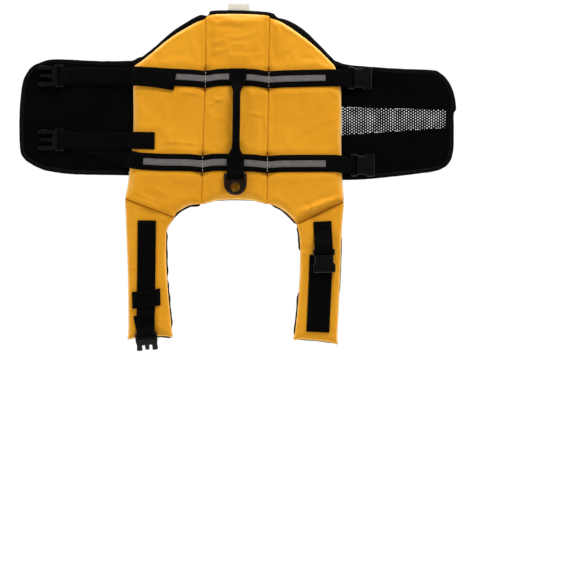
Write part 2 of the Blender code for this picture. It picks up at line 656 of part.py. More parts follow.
def add_dome_binding():
    """The ribbon round the tail end, between its own outer edge and the pads' rear edges."""
    edges = [fine_line(DOME_LEFT), fine_line(DOME_CENTRE), fine_line(DOME_RIGHT)]
    edge = fine_line(BINDING_DOME_EDGE)
    count = 52
    places = [-149.4 + 298.2 * i / count for i in range(count + 1)]
    for corner in (DOME_CENTRE[0][0], DOME_CENTRE[-1][0]):
        places = [x for x in places if abs(x - corner) > 2.5] + [corner - 1.2, corner + 1.2]
    outer, inner = [], []
    for x in sorted(places):
        reach = [crossing(line, near, 0) for line in edges for near in (x - 1.3, x, x + 1.3)
                 if line[0][0] <= near <= line[-1][0]]
        limit = min(DOME_LEFT[0][1], DOME_RIGHT[-1][1])
        outer.append((x, crossing(edge, x, 0)))
        inner.append((x, max(reach, default=limit) + SEW_GAP * 2))
    bottom = LABEL_THICK + LAY_GAP / 2
    add_ribbon("binding_dome", "binding", outer, inner, bottom, bottom + BIND_THICK)


def add_flap(edge, inward, side, shift, name):
    """The binding round a flap. Returns the outline of the flap's panel within it."""
    outer = [tuple(point) for point in even_points(edge, 9.0)]
    inner = offset_line(outer, inward * BIND_WIDTH)
    add_ribbon("binding_" + name, "binding", outer, inner, 0.0, BIND_THICK)
    panel = offset_line(outer, inward * (BIND_WIDTH + SEW_GAP * 2))
    low, high = panel[-1][1], panel[0][1]
    back = [low + (high - low) * i / 12 for i in range(13)]
    closing = [(crossing(side, y, 1) + shift, y) for y in back]
    inset = [point for point in panel if abs(point[0]) > max(abs(x) for x, y in closing) + 0.5]
    return inset + closing


def cut_outline(outline, line, keep):
    """The part of an outline at one side of a line along x. Keep is 1 for the rear side, -1 for the front."""
    def depth(point):
        return keep * (point[1] - crossing(line, point[0], 0)) - SEW_GAP

    start = next(i for i, point in enumerate(outline) if depth(point) > 0)
    points = outline[start:] + outline[:start + 1]
    result = []
    for near, far in zip(points, points[1:]):
        d0, d1 = depth(near), depth(far)
        if d0 > 0:
            result.append(near)
        if d0 * d1 < 0:
            share = d0 / (d0 - d1)
            cut = tuple(a + (b - a) * share for a, b in zip(near, far))
            if d0 > 0:
                left = cut
            else:
                for i in range(1, 8):
                    x = left[0] + (cut[0] - left[0]) * i / 8
                    result.append((x, crossing(line, x, 0) + keep * SEW_GAP))
            result.append(cut)
    return result


def add_flaps():
    """The flaps' panels lie on the surface. The right one has a wedge of net between two panels."""
    left = add_flap(FLAP_LEFT_EDGE, -1, fine_line(SIDE_LEFT), -SEW_GAP * 2, "flap_left")
    add_plate("flap_left", "velour", left, 0.0, FLAP_THICK, 0.4)
    right = add_flap(FLAP_RIGHT_EDGE, 1, fine_line(SIDE_RIGHT), SEW_GAP * 2, "flap_right")
    rear_line, front_line = fine_line(NET_REAR_LINE), fine_line(NET_FRONT_LINE)
    add_plate("flap_right_rear", "velour", cut_outline(right, rear_line, 1), 0.0, FLAP_THICK, 0.4)
    net = cut_outline(cut_outline(right, rear_line, -1), front_line, 1)
    add_plate("flap_mesh", "net", net, 0.0, NET_THICK)
    add_plate("flap_right_front", "velour", cut_outline(right, front_line, -1), 0.0, FLAP_THICK, 0.4)


def raised_route(route, distance):
    """A route moved out from the upper side of another, along its own slope."""
    steps = [Vector((b[0] - a[0], b[2] - a[2])).normalized() for a, b in zip(route, route[1:])]
    result = []
    for i, (x, y, z) in enumerate(route):
        before, after = steps[max(i - 1, 0)], steps[min(i, len(steps) - 1)]
        middle = (before + after).normalized()
        reach = distance / middle.dot(after)
        result.append((x - middle.y * reach, y, z + middle.x * reach))
    return result


def add_belly_straps(pads):
    """The two belly straps with their buckles and reflective tapes."""
    male_z = FLAP_THICK + LAY_GAP + WEB_THICK / 2 + TURN_RADIUS
    female_z = FLAP_THICK + LAY_GAP + FEMALE_THICK / 2
    for name, tail, line, male, female in (
            ("rear", REAR_TAIL, REAR_LINE, MALE_REAR, FEMALE_REAR),
            ("front", FRONT_TAIL, FRONT_LINE, MALE_FRONT, FEMALE_FRONT)):
        male_bar, female_bar = (*male, male_z), (*female, female_z)
        laid = laid_route(pads, line, step=5.0)
        route = laid_route(pads, tail) + turn_route(male_bar, 180) + laid
        near = female[0] - STRAP_SPAN
        route.append((near, female[1], female_z + TURN_RADIUS + 0.8))
        route += turn_route(female_bar, 0)
        route.append((near, female[1], female_z - TURN_RADIUS))
        add_band("strap_" + name, "web", route, WEB_WIDTH, WEB_THICK)
        add_male_buckle("buckle_male_" + name, male_bar, 180)
        add_female_buckle("buckle_female_" + name, female_bar, 0)
        for tape, start, end, aside in TAPES:
            if name not in tape:
                continue
            chosen = [i for i, point in enumerate(laid) if start < point[0] < end]
            up = WEB_THICK / 2 + LAY_GAP * 0.8 + TAPE_THICK / 2
            over = raised_route([laid[i] for i in chosen], up)
            sides = [route_sides(laid)[i] for i in chosen]
            middle = [(x + side.x * aside, y + side.y * aside, z) for (x, y, z), side in zip(over, sides)]
            add_band(tape, "tape", middle, TAPE_WIDTH, TAPE_THICK, sides)


def add_neck(pads):
    """What lies on the neck straps, and the loop strip under the left one."""
    left = laid_route(pads, NECK_LEFT_LINE, step=4.0)
    left += turn_route(NECK_LEFT_BAR, NECK_LEFT_HEADING)
    left += laid_rows(pads, NECK_LEFT_RETURN, WEB_WIDTH, WEB_THICK)
    add_band("neck_web_left", "web", left, WEB_WIDTH, WEB_THICK)
    add_male_buckle("buckle_male_neck", NECK_LEFT_BAR, NECK_LEFT_HEADING, NECK_LEFT_PITCH, NECK_PRONGS)
    add_band("keeper", "web", laid_rows(pads, KEEPER_ROWS, WEB_WIDTH, WEB_THICK), WEB_WIDTH, WEB_THICK)
    right = laid_route(pads, NECK_RIGHT_LINE) + NECK_RIGHT_RISE
    right += turn_route(NECK_RIGHT_BAR, NECK_RIGHT_HEADING) + NECK_RIGHT_RETURN
    add_band("neck_web_right", "web", right, WEB_WIDTH, WEB_THICK)
    add_female_buckle("buckle_female_neck", NECK_RIGHT_BAR, NECK_RIGHT_HEADING)
    strip = laid_route(pads, HOOK_STRIP_LINE, HOOK_STRIP_WIDTH, WEB_THICK, 9.0)
    add_band("hook_strip", "hook", strip, HOOK_STRIP_WIDTH, WEB_THICK)
    x0, y0, x1, y1 = LOOP_STRIP_BOX
    add_plate("loop_strip", "hook", [(x0, y0), (x1, y0), (x1, y1), (x0, y1)], 0.0, NECK_LIFT - 0.3)


def add_label():
    x0, y0, x1, y1 = LABEL_BOX
    add_plate("label", "label", [(x0, y0), (x1, y0), (x1, y1), (x0, y1)], 0.0, LABEL_THICK)


def start_scene():
    for obj in list(bpy.data.objects):
        bpy.data.objects.remove(obj)
    for name in ("dog_life_jacket", "cutters"):
        bpy.context.scene.collection.children.link(bpy.data.collections.new(name))
    frame = bpy.data.objects.new("jacket_frame", None)
    bpy.data.collections["dog_life_jacket"].objects.link(frame)


def main():
    start_scene()
    pads = make_pads()
    for pad in pads:
        add_outer_pad(pad)
    add_linings(pads)
    add_hinges()
    add_dome_binding()
    add_flaps()
    add_belly_straps(pads)
    add_handle()
    add_lead_ring()
    add_neck(pads)
    add_label()


main()
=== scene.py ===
# Dog life jacket laid flat with its outer face up: shell cloth over foam pads, velour flaps,
# webbing, net, stitching and moulded buckles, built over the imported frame. Tables are in millimetres.
import bpy
import bmesh
import json
import math
import numpy as np
from functools import partial
from mathutils.bvhtree import BVHTree
from mathutils import Matrix, Vector, noise

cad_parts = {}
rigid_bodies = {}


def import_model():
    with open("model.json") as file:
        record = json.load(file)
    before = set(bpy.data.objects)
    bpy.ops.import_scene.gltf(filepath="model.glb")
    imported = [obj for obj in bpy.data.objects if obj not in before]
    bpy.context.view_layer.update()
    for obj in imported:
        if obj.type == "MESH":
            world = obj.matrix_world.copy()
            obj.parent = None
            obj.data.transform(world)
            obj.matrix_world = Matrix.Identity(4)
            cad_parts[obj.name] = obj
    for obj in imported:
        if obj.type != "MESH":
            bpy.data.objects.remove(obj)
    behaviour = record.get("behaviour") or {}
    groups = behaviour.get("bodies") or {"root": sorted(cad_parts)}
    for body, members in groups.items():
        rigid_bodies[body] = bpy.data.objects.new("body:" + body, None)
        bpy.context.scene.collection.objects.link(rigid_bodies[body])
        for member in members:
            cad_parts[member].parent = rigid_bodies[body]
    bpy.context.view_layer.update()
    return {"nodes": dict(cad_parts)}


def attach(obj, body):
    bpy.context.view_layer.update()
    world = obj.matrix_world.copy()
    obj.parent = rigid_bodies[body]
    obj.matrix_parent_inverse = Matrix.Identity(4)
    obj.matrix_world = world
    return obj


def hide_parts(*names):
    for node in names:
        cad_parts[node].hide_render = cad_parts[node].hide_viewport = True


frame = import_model()
mm = 0.001


def smoothPoint(points, share):
    last = len(points) - 1
    place = min(max(share, 0.0), 1.0) * last
    i = min(int(place), last - 1)
    t = place - i
    before = points[i - 1] if i > 0 else points[i]
    after = points[i + 2] if i + 2 <= last else points[i + 1]
    return [0.5 * (2 * b + (c - a) * t + (2 * a - 5 * b + 4 * c - d) * t * t + (3 * b - 3 * c + d - a) * t ** 3)
            for a, b, c, d in zip(before, points[i], points[i + 1], after)]


def runOf(points):
    # the length so far at each point of a line
    return np.concatenate([[0], np.cumsum(np.linalg.norm(np.diff(points, axis=0), axis=1))])


def evenPoints(points, step, samples=400):
    fine = np.array([smoothPoint(points, i / samples) for i in range(samples + 1)])
    lengths = runOf(fine[:, :2])
    targets = np.linspace(0, lengths[-1], max(1, round(lengths[-1] / step)) + 1)
    return np.stack([np.interp(targets, lengths, column) for column in fine.T], axis=1)


def finePoints(rows, step):
    # rows of a route filled in smoothly, evenly spaced between each two of its points
    fine = []
    for i in range(len(rows) - 1):
        count = max(1, round(math.dist(rows[i][:3], rows[i + 1][:3]) / step))
        fine += [smoothPoint(rows, (i + k / count) / (len(rows) - 1)) for k in range(count)]
    return np.array(fine + [list(rows[-1])])


def joinedLine(*curves, count=6):
    line = []
    for points in curves:
        n = count * (len(points) - 1)
        line += [smoothPoint(points, i / n) for i in range(n + 1)]
    return np.array(line)


def acrossLine(line, value, axis):
    order = np.argsort(line[:, axis], kind="stable")
    return np.interp(value, line[order, axis], line[order, 1 - axis])


def unitRows(rows):
    return rows / np.maximum(np.linalg.norm(rows, axis=1), 1e-9)[:, None]


def offsetLine(points, distance):
    points = np.asarray(points, float)
    ahead = np.roll(points, -1, axis=0) - np.roll(points, 1, axis=0)
    ahead[0], ahead[-1] = points[1] - points[0], points[-1] - points[-2]
    ahead = unitRows(ahead)
    return points + np.stack([ahead[:, 1], -ahead[:, 0]], axis=1) * distance


def closed(points):
    return np.vstack([points, points[:1]])


def lineDistance(line, x, y):
    # Distance of places from an open line, and the share of the line where each is nearest.
    line = np.asarray(line, float)
    lengths = runOf(line)
    best, share = np.full(np.shape(x), np.inf), np.zeros(np.shape(x))
    for (x0, y0), (x1, y1), before in zip(line, line[1:], lengths):
        dx, dy = x1 - x0, y1 - y0
        span = dx * dx + dy * dy
        if span < 1e-12:
            continue
        t = np.clip(((x - x0) * dx + (y - y0) * dy) / span, 0, 1)
        d = np.hypot(x - x0 - t * dx, y - y0 - t * dy)
        near = d < best
        best = np.where(near, d, best)
        share = np.where(near, (before + t * math.sqrt(span)) / lengths[-1], share)
    return best, share


def edgeDistance(outline, x, y):
    # Depth of places inside an outline, zero outside it.
    x, y = np.asarray(x, float), np.asarray(y, float)
    ring = closed(outline)
    inside, depth = np.zeros(x.shape, bool), np.zeros(x.shape)
    for (x0, y0), (x1, y1) in zip(ring, ring[1:]):
        if y0 != y1:
            inside ^= ((y0 > y) != (y1 > y)) & (x < x0 + (y - y0) / (y1 - y0) * (x1 - x0))
    depth[inside] = lineDistance(ring, x[inside], y[inside])[0]
    return depth


def ripple(x, y, scale, seed):
    # Smooth noise from -1 to 1 over a pattern of the given size.
    return np.array([noise.noise(Vector((a / scale, b / scale, seed))) for a, b in zip(x, y)])


def waverAt(run, scale, seed, level=0.0):
    return noise.noise(Vector((run / scale, seed, level)))


def addObject(name, data):
    made = bpy.data.objects.new(name, data)
    bpy.context.scene.collection.objects.link(made)
    return made


def showMesh(name, mesh, finish, body, replaces):
    piece = addObject(name, mesh)
    mesh.materials.append(finish)
    mesh.shade_smooth()
    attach(piece, body)
    if replaces:
        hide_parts(*replaces)
    return piece


def showPiece(name, verts, faces, finish, body="jacket", replaces=(), uvs=None, sharp=0):
    # A mesh from points in millimetres, riding on a body of the frame. Its faces are turned outward, and its
    # edges are sharp past the given angle.
    mesh = bpy.data.meshes.new(name)
    mesh.from_pydata([tuple(float(c) * mm for c in v) for v in verts], [], faces)
    mesh.validate()
    if uvs is not None:
        layer = mesh.uv_layers.new(name="cloth")
        for loop in mesh.loops:
            layer.data[loop.index].uv = uvs[loop.vertex_index]
    piece = showMesh(name, mesh, finish, body, replaces)
    reshape(mesh, turnOut)
    if sharp:
        mesh.set_sharp_from_angle(angle=math.radians(sharp))
    return piece


def reshape(mesh, change, source=None):
    bm = bmesh.new()
    bm.from_mesh(source or mesh)
    change(bm)
    bm.to_mesh(mesh)
    bm.free()


def turnOut(bm):
    bmesh.ops.recalc_face_normals(bm, faces=bm.faces[:])


def gridFaces(rows, columns):
    return [(a, a + 1, a + columns + 1, a + columns) for j in range(rows - 1)
            for a in range(j * columns, (j + 1) * columns - 1)]


def tubeFaces(rings, sides, start=0):
    # the wall and both ends of a tube whose rings of points follow each other
    faces, last = [], start + (rings - 1) * sides
    for i in range(start, last, sides):
        for k in range(sides):
            j = (k + 1) % sides
            faces.append((i + k, i + j, i + sides + j, i + sides + k))
    return faces + [tuple(range(start, start + sides))[::-1], tuple(range(last, last + sides))]


def feed(tree, socket, value):
    if isinstance(value, bpy.types.NodeSocket):
        tree.links.new(value, socket)
    else:
        socket.default_value = value


def addNode(tree, kind, inputs=None, **settings):
    node = tree.nodes.new(kind)
    for name, value in settings.items():
        setattr(node, name, value)
    for name, value in (inputs or {}).items():
        feed(tree, node.inputs[name], value)
    return node


def sums(tree, operation, first, second=0.0, third=0.0):
    return addNode(tree, "ShaderNodeMath", {0: first, 1: second, 2: third}, operation=operation).outputs[0]


def newGroup(name, floats, *outputs):
    group = bpy.data.node_groups.new(name, "ShaderNodeTree")
    group.interface.new_socket("Vector", in_out="INPUT", socket_type="NodeSocketVector")
    for label, value in floats.items():
        group.interface.new_socket(label, in_out="INPUT", socket_type="NodeSocketFloat").default_value = value
    for label in outputs:
        group.interface.new_socket(label, in_out="OUTPUT", socket_type="NodeSocketFloat")
    return group, addNode(group, "NodeGroupInput").outputs, addNode(group, "NodeGroupOutput").inputs


def makePlainWeave():
    # Threads over and under each other, on two axes of the vector.
    group, start, end = newGroup("plainWeave", {"Pitch": 0.0006}, "Height")
    calc = partial(sums, group)
    parts = addNode(group, "ShaderNodeSeparateXYZ", {0: start["Vector"]}).outputs
    waves = [calc("SINE", calc("MULTIPLY", calc("DIVIDE", parts[axis], start["Pitch"]), math.pi)) for axis in "XY"]
    over = calc("GREATER_THAN", calc("MULTIPLY", *waves), 0.0)
    warp = calc("MULTIPLY", calc("ABSOLUTE", waves[0]), over)
    weft = calc("MULTIPLY", calc("ABSOLUTE", waves[1]), calc("SUBTRACT", 1.0, over))
    feed(group, end["Height"], calc("ADD", warp, weft))
    return group


def makeWebbingWeave():
    # Columns of long stitches, each column half a step from the next.
    group, start, end = newGroup("webbingWeave", {"Across": 0.00105, "Along": 0.0021}, "Height", "GrooveShade")
    calc = partial(sums, group)
    parts = addNode(group, "ShaderNodeSeparateXYZ", {0: start["Vector"]}).outputs
    column = calc("DIVIDE", parts["X"], start["Across"])
    odd = calc("MULTIPLY", calc("MODULO", calc("FLOOR", column), 2.0), 0.5)
    row = calc("ADD", calc("DIVIDE", parts["Y"], start["Along"]), odd)
    bulge, length = (calc("ABSOLUTE", calc("SINE", calc("MULTIPLY", turns, math.pi))) for turns in (column, row))
    height = calc("POWER", calc("MULTIPLY", bulge, length), 0.6)
    feed(group, end["Height"], height)
    # a share for painted shade, darker down between the columns
    feed(group, end["GrooveShade"], calc("SUBTRACT", 1.0, height))
    return group


def makeSoftMottle():
    # Slow changes of shade in dyed cloth.
    group, start, end = newGroup("softMottle", {"Scale": 20.0, "Low": 0.0, "High": 1.0}, "Value")
    cloud = addNode(group, "ShaderNodeTexNoise", {"Detail": 3.0, "Vector": start["Vector"], "Scale": start["Scale"]})
    spread = addNode(group, "ShaderNodeMapRange", {"From Min": 0.3, "From Max": 0.7, "Value": cloud.outputs[0],
                                                   "To Min": start["Low"], "To Max": start["High"]})
    feed(group, end["Value"], spread.outputs[0])
    return group


def makeCrinkle():
    # The fine crinkles that coated cloth keeps from being handled.
    group, start, end = newGroup("crinkle", {"Scale": 40.0}, "Height")
    calc = partial(sums, group)
    total = None
    for times, share in ((1.0, 0.6), (2.7, 0.28), (6.1, 0.12)):
        scale = calc("MULTIPLY", start["Scale"], times)
        cloud = addNode(group, "ShaderNodeTexNoise", {"Detail": 1.0, "Distortion": 0.6, "Vector": start["Vector"],
                                                      "Scale": scale})
        fold = calc("ABSOLUTE", calc("MULTIPLY_ADD", cloud.outputs[0], 2.0, -1.0))
        fold = calc("MULTIPLY", calc("SUBTRACT", 1.0, calc("POWER", fold, 0.7)), share)
        total = fold if total is None else calc("ADD", total, fold)
    feed(group, end["Height"], total)
    return group


plainWeave, webbingWeave = makePlainWeave(), makeWebbingWeave()
softMottle, crinkle = makeSoftMottle(), makeCrinkle()


def useGroup(tree, group, **inputs):
    return addNode(tree, "ShaderNodeGroup", inputs, node_tree=group).outputs


def mottled(tree, place, scale, low=0.0, high=1.0):
    return useGroup(tree, softMottle, Vector=place, Scale=scale, Low=low, High=high)[0]


def newFinish(name, colour, roughness, specular, **others):
    finish = bpy.data.materials.new(name)
    finish.use_nodes = True
    shader = finish.node_tree.nodes["Principled BSDF"]
    values = {"Base_Color": (*colour, 1.0), "Roughness": roughness, "Specular_IOR_Level": specular, **others}
    for label, value in values.items():
        shader.inputs[label.replace("_", " ")].default_value = value
    return finish, finish.node_tree, shader


def mixedShade(tree, factor, low, high):
    low, high = ((*shade, 1.0) if isinstance(shade, tuple) else shade for shade in (low, high))
    return addNode(tree, "ShaderNodeMix", {"Factor": factor, "A": low, "B": high}, data_type="RGBA").outputs["Result"]


def placeOf(tree, name="Object"):
    return addNode(tree, "ShaderNodeTexCoord").outputs[name]


def facingShare(tree, low, high, least=0.0, most=1.0):
    # how far a face turns away from the eye, between two limits
    facing = addNode(tree, "ShaderNodeLayerWeight").outputs["Facing"]
    return addNode(tree, "ShaderNodeMapRange", {"From Min": low, "From Max": high, "To Min": least, "To Max": most,
                                                "Value": facing}).outputs[0]


def grainOf(tree, kind, place, size):
    # The height of one kind of grain. Weave and bristles are sized in millimetres, the others by their scale.
    if kind == "crinkle":
        return useGroup(tree, crinkle, Vector=place, Scale=size)[0]
    if kind == "weave":
        return useGroup(tree, plainWeave, Vector=place, Pitch=size * mm)[0]
    if kind == "bristles":
        return addNode(tree, "ShaderNodeTexVoronoi", {"Scale": 1.0 / (size * mm), "Vector": place}).outputs["Distance"]
    if kind == "grit":
        return addNode(tree, "ShaderNodeTexNoise", {"Scale": size, "Detail": 2.0, "Vector": place}).outputs[0]
    return addNode(tree, "ShaderNodeTexWave", {"Scale": size, "Vector": place}, wave_type="BANDS",
                   bands_direction="DIAGONAL").outputs[0]


def addBumps(tree, shader, place, *layers):
    # Bumps on top of each other. Each is a kind of grain or a height socket, its size, its distance in millimetres
    # and its strength.
    below = {}
    for grain, size, distance, strength in layers:
        height = grainOf(tree, grain, place, size) if isinstance(grain, str) else grain
        bump = addNode(tree, "ShaderNodeBump", {"Distance": distance * mm, "Strength": strength, "Height": height,
                                                **below})
        below = {"Normal": bump.outputs["Normal"]}
    feed(tree, shader.inputs["Normal"], below["Normal"])


def dyedCloth(name, low, high, roughness, specular, patches, bumps, colour=None, space="Object", **others):
    # Cloth in two shades, in patches of the given scale.
    finish, tree, shader = newFinish(name, colour or high, roughness, specular, **others)
    place = placeOf(tree, space)
    feed(tree, shader.inputs["Base Color"], mixedShade(tree, mottled(tree, place, patches), low, high))
    addBumps(tree, shader, place, *bumps)
    return finish


def shellNylon():
    # the rim colour is a painted highlight and the seam colour a painted shade
    settings = {"low": (0.638, 0.262, 0.0125), "high": (0.708, 0.310, 0.0172), "rim": (0.86, 0.52, 0.155),
                "turned": (0.08, 0.66), "seam": (0.33, 0.10, 0.001), "seamShadeStrength": 0.7, "roughness": 0.46,
                "polished": 0.05, "rubbed": 0.07}
    finish, tree, shader = newFinish("shellNylon", settings["high"], settings["roughness"], 0.17,
                                     Specular_Tint=(1.0, 0.74, 0.26, 1.0), Sheen_Weight=0.10, Sheen_Roughness=0.3,
                                     Sheen_Tint=(1.0, 0.66, 0.16, 1.0))
    place = placeOf(tree)
    shade = mixedShade(tree, mottled(tree, place, 13.0, 0.1, 0.9), settings["low"], settings["high"])
    # painted highlight where the cloth turns away near a free edge, and painted shade down in a seam
    rimHighlightArea, seam = (addNode(tree, "ShaderNodeAttribute", attribute_name=name).outputs["Fac"] for name in
                      ("rimHighlightArea", "seam"))
    turned = sums(tree, "MULTIPLY", facingShare(tree, *settings["turned"]), rimHighlightArea)
    shade = mixedShade(tree, turned, shade, settings["rim"])
    shade = mixedShade(tree, sums(tree, "MULTIPLY", seam, settings["seamShadeStrength"]), shade, settings["seam"])
    feed(tree, shader.inputs["Base Color"], shade)
    gloss = mottled(tree, place, 55.0, settings["roughness"] - settings["polished"],
                    settings["roughness"] + settings["rubbed"])
    feed(tree, shader.inputs["Roughness"], gloss)
    addBumps(tree, shader, place, ("crinkle", 34.0, 0.38, 0.6), ("weave", 0.55, 0.05, 0.5))
    return finish


def pileCloth(name, low, high, pile, depth, specular, sheen):
    # Brushed pile: fine bristles and broad patches where it leans one way or the other.
    return dyedCloth(name, low, high, 0.92, specular, 18.0, [("crinkle", 26.0, 0.5, 0.5),
                     ("bristles", pile, depth, 0.8)], Sheen_Weight=sheen, Sheen_Roughness=0.5)


def wovenBand(name, colour, grooveShade, across, along, depth, roughness, specular, sheen):
    # Webbing and binding: woven columns along the band, from its own length and width.
    finish, tree, shader = newFinish(name, colour, roughness, specular, Sheen_Weight=sheen, Sheen_Roughness=0.4)
    weave = useGroup(tree, webbingWeave, Vector=placeOf(tree, "UV"), Across=across * mm, Along=along * mm)
    # painted shade: the colour darkens down in the grooves of the weave
    feed(tree, shader.inputs["Base Color"], mixedShade(tree, weave["GrooveShade"], colour, grooveShade))
    addBumps(tree, shader, None, (weave["Height"], None, depth, 0.8))
    return finish


def mouldedPlastic(name, colour):
    # Flat faces stay dark, rounded edges catch the light.
    finish, tree, shader = newFinish(name, colour, 0.30, 0.12)
    place = placeOf(tree)
    feed(tree, shader.inputs["Specular IOR Level"], facingShare(tree, 0.05, 0.42, 0.10, 0.42))
    feed(tree, shader.inputs["Roughness"], mottled(tree, place, 140.0, 0.40, 0.52))
    addBumps(tree, shader, place, ("grit", 2600.0, 0.04, 0.35))
    return finish


def sewingThread(name, colour):
    finish, tree, shader = newFinish(name, colour, 0.55, 0.1, Sheen_Weight=0.02)
    addBumps(tree, shader, placeOf(tree), ("twist", 700.0, 0.05, 0.5))
    return finish


yellow = shellNylon()
charcoal = dyedCloth("liningNylon", (0.0050, 0.0049, 0.0045), (0.0088, 0.0086, 0.0080), 0.42, 0.09, 16.0,
                     [("crinkle", 38.0, 0.7, 0.7), ("weave", 0.35, 0.03, 0.5)], Sheen_Weight=0.03, Sheen_Roughness=0.35)
silverTape = dyedCloth("reflectiveTape", (0.128, 0.115, 0.112), (0.172, 0.158, 0.152), 0.38, 0.5, 90.0,
                       [("weave", 3.2, 0.06, 0.4), ("bristles", 0.35, 0.03, 0.5)], space="UV", Metallic=0.25)
paleCloth = dyedCloth("labelCloth", (0.66, 0.61, 0.52), (0.74, 0.69, 0.60), 0.75, 0.2, 60.0,
                      [("weave", 0.4, 0.05, 0.6)], colour=(0.72, 0.67, 0.57), Sheen_Weight=0.1)
velour = pileCloth("flapVelour", (0.0009, 0.0009, 0.0009), (0.0019, 0.0019, 0.0017), 0.45, 0.18, 0.015, 0.012)
hookPile = pileCloth("hookPile", (0.0008, 0.0008, 0.0007), (0.0017, 0.0018, 0.0015), 0.9, 0.35, 0.03, 0.012)
loopPile = pileCloth("loopPile", (0.0010, 0.0010, 0.0010), (0.0022, 0.0022, 0.0021), 0.6, 0.30, 0.02, 0.02)
webbingCloth = wovenBand("strapWebbing", (0.0014, 0.0011, 0.0010), (0.0005, 0.0004, 0.0004), 1.05, 2.1, 0.22, 0.62,
                         0.03, 0.007)
bindingCloth = wovenBand("bindingTape", (0.0016, 0.0015, 0.0014), (0.0006, 0.0006, 0.0005), 0.8, 0.9, 0.12, 0.5,
                         0.06, 0.012)
netYarn = newFinish("netYarn", (0.0022, 0.0022, 0.0022), 0.7, 0.05)[0]
blackPlastic = mouldedPlastic("blackPlastic", (0.0016, 0.0014, 0.0011))
# the ring's brown tint is painted reflected light, standing in for yellow light bounced onto it from the shell
ringPlastic = mouldedPlastic("ringPlastic", (0.0105, 0.0040, 0.0018))
blackThread = sewingThread("blackThread", (0.0060, 0.0055, 0.0050))
greyThread = sewingThread("greyThread", (0.46, 0.44, 0.40))
dimThread = sewingThread("dimThread", (0.020, 0.019, 0.017))
print("finishes made:", len(bpy.data.materials))


# Outlines of the pads, from the tail end (rear) to the neck (front).
sideLeft = [(-148.3, 161), (-150.1, 130), (-150.1, 68), (-155.2, 13), (-158, -12), (-162, -31.5)]
sideRight = [(140.7, 162.4), (150.1, 133), (150.8, 50), (152.3, -3), (154.6, -36)]
channelLeft = [(-45.2, 233), (-45.7, 145), (-47.9, 83), (-50, 20), (-51.2, -38.9)]
channelRight = [(47.1, 232.5), (45.7, 141), (44.9, 80), (44.2, 20), (43.5, -38.9)]
domeLeft = [(-148.3, 161), (-127, 180.1), (-105.9, 198.2), (-84.5, 213.2), (-63.2, 223.7), (-45.2, 230)]
domeCentre = [(-45.2, 233), (-38.9, 236.1), (4.4, 236.6), (40, 235), (47.1, 232.5)]
domeRight = [(47.1, 230.6), (63.1, 225.6), (87.4, 210.1), (114.1, 188.9), (140.7, 162.4)]
neckEdgeLeft = [(-90.5, -59), (-88.5, -52.2), (-82.7, -47.9), (-68.6, -40.5), (-51.2, -38.9)]
neckEdgeCentre = [(-51.2, -38.9), (-27.6, -33.4), (-3.8, -32.2), (21.8, -33.4), (43.5, -38.9)]
neckEdgeRight = [(43.5, -38.9), (54.1, -40.7), (70.2, -50), (81.8, -61.5), (87, -68.4)]
diagonalLeft = [(-162, -31.5), (-90.5, -59)]
diagonalRight = [(87, -68.4), (154.6, -36)]
strapLeftOuter = [(-162, -31.5), (-159.9, -82.4), (-157.6, -151.7), (-156.9, -233.9)]
strapLeftInner = [(-90.5, -59), (-100.9, -73.1), (-103.2, -89.3), (-102.8, -128.6), (-99.8, -174.9),
                  (-96.3, -209.5), (-95.1, -230.4)]
strapRightOuter = [(154.6, -36), (151.2, -82.4), (148.9, -151.7), (144.3, -241)]
strapRightInner = [(87, -68.4), (91.1, -87), (92.2, -117), (91.1, -151.7), (87.6, -197.9), (83.4, -234.5)]

pads = {"outerEdge": 5.6, "edgeRound": 15.0, "layGap": 0.5, "flapThick": 2.6, "tipReach": 6.0, "tipOut": 1.3,
        "tipDraw": 1.2, "endReach": 9.0}


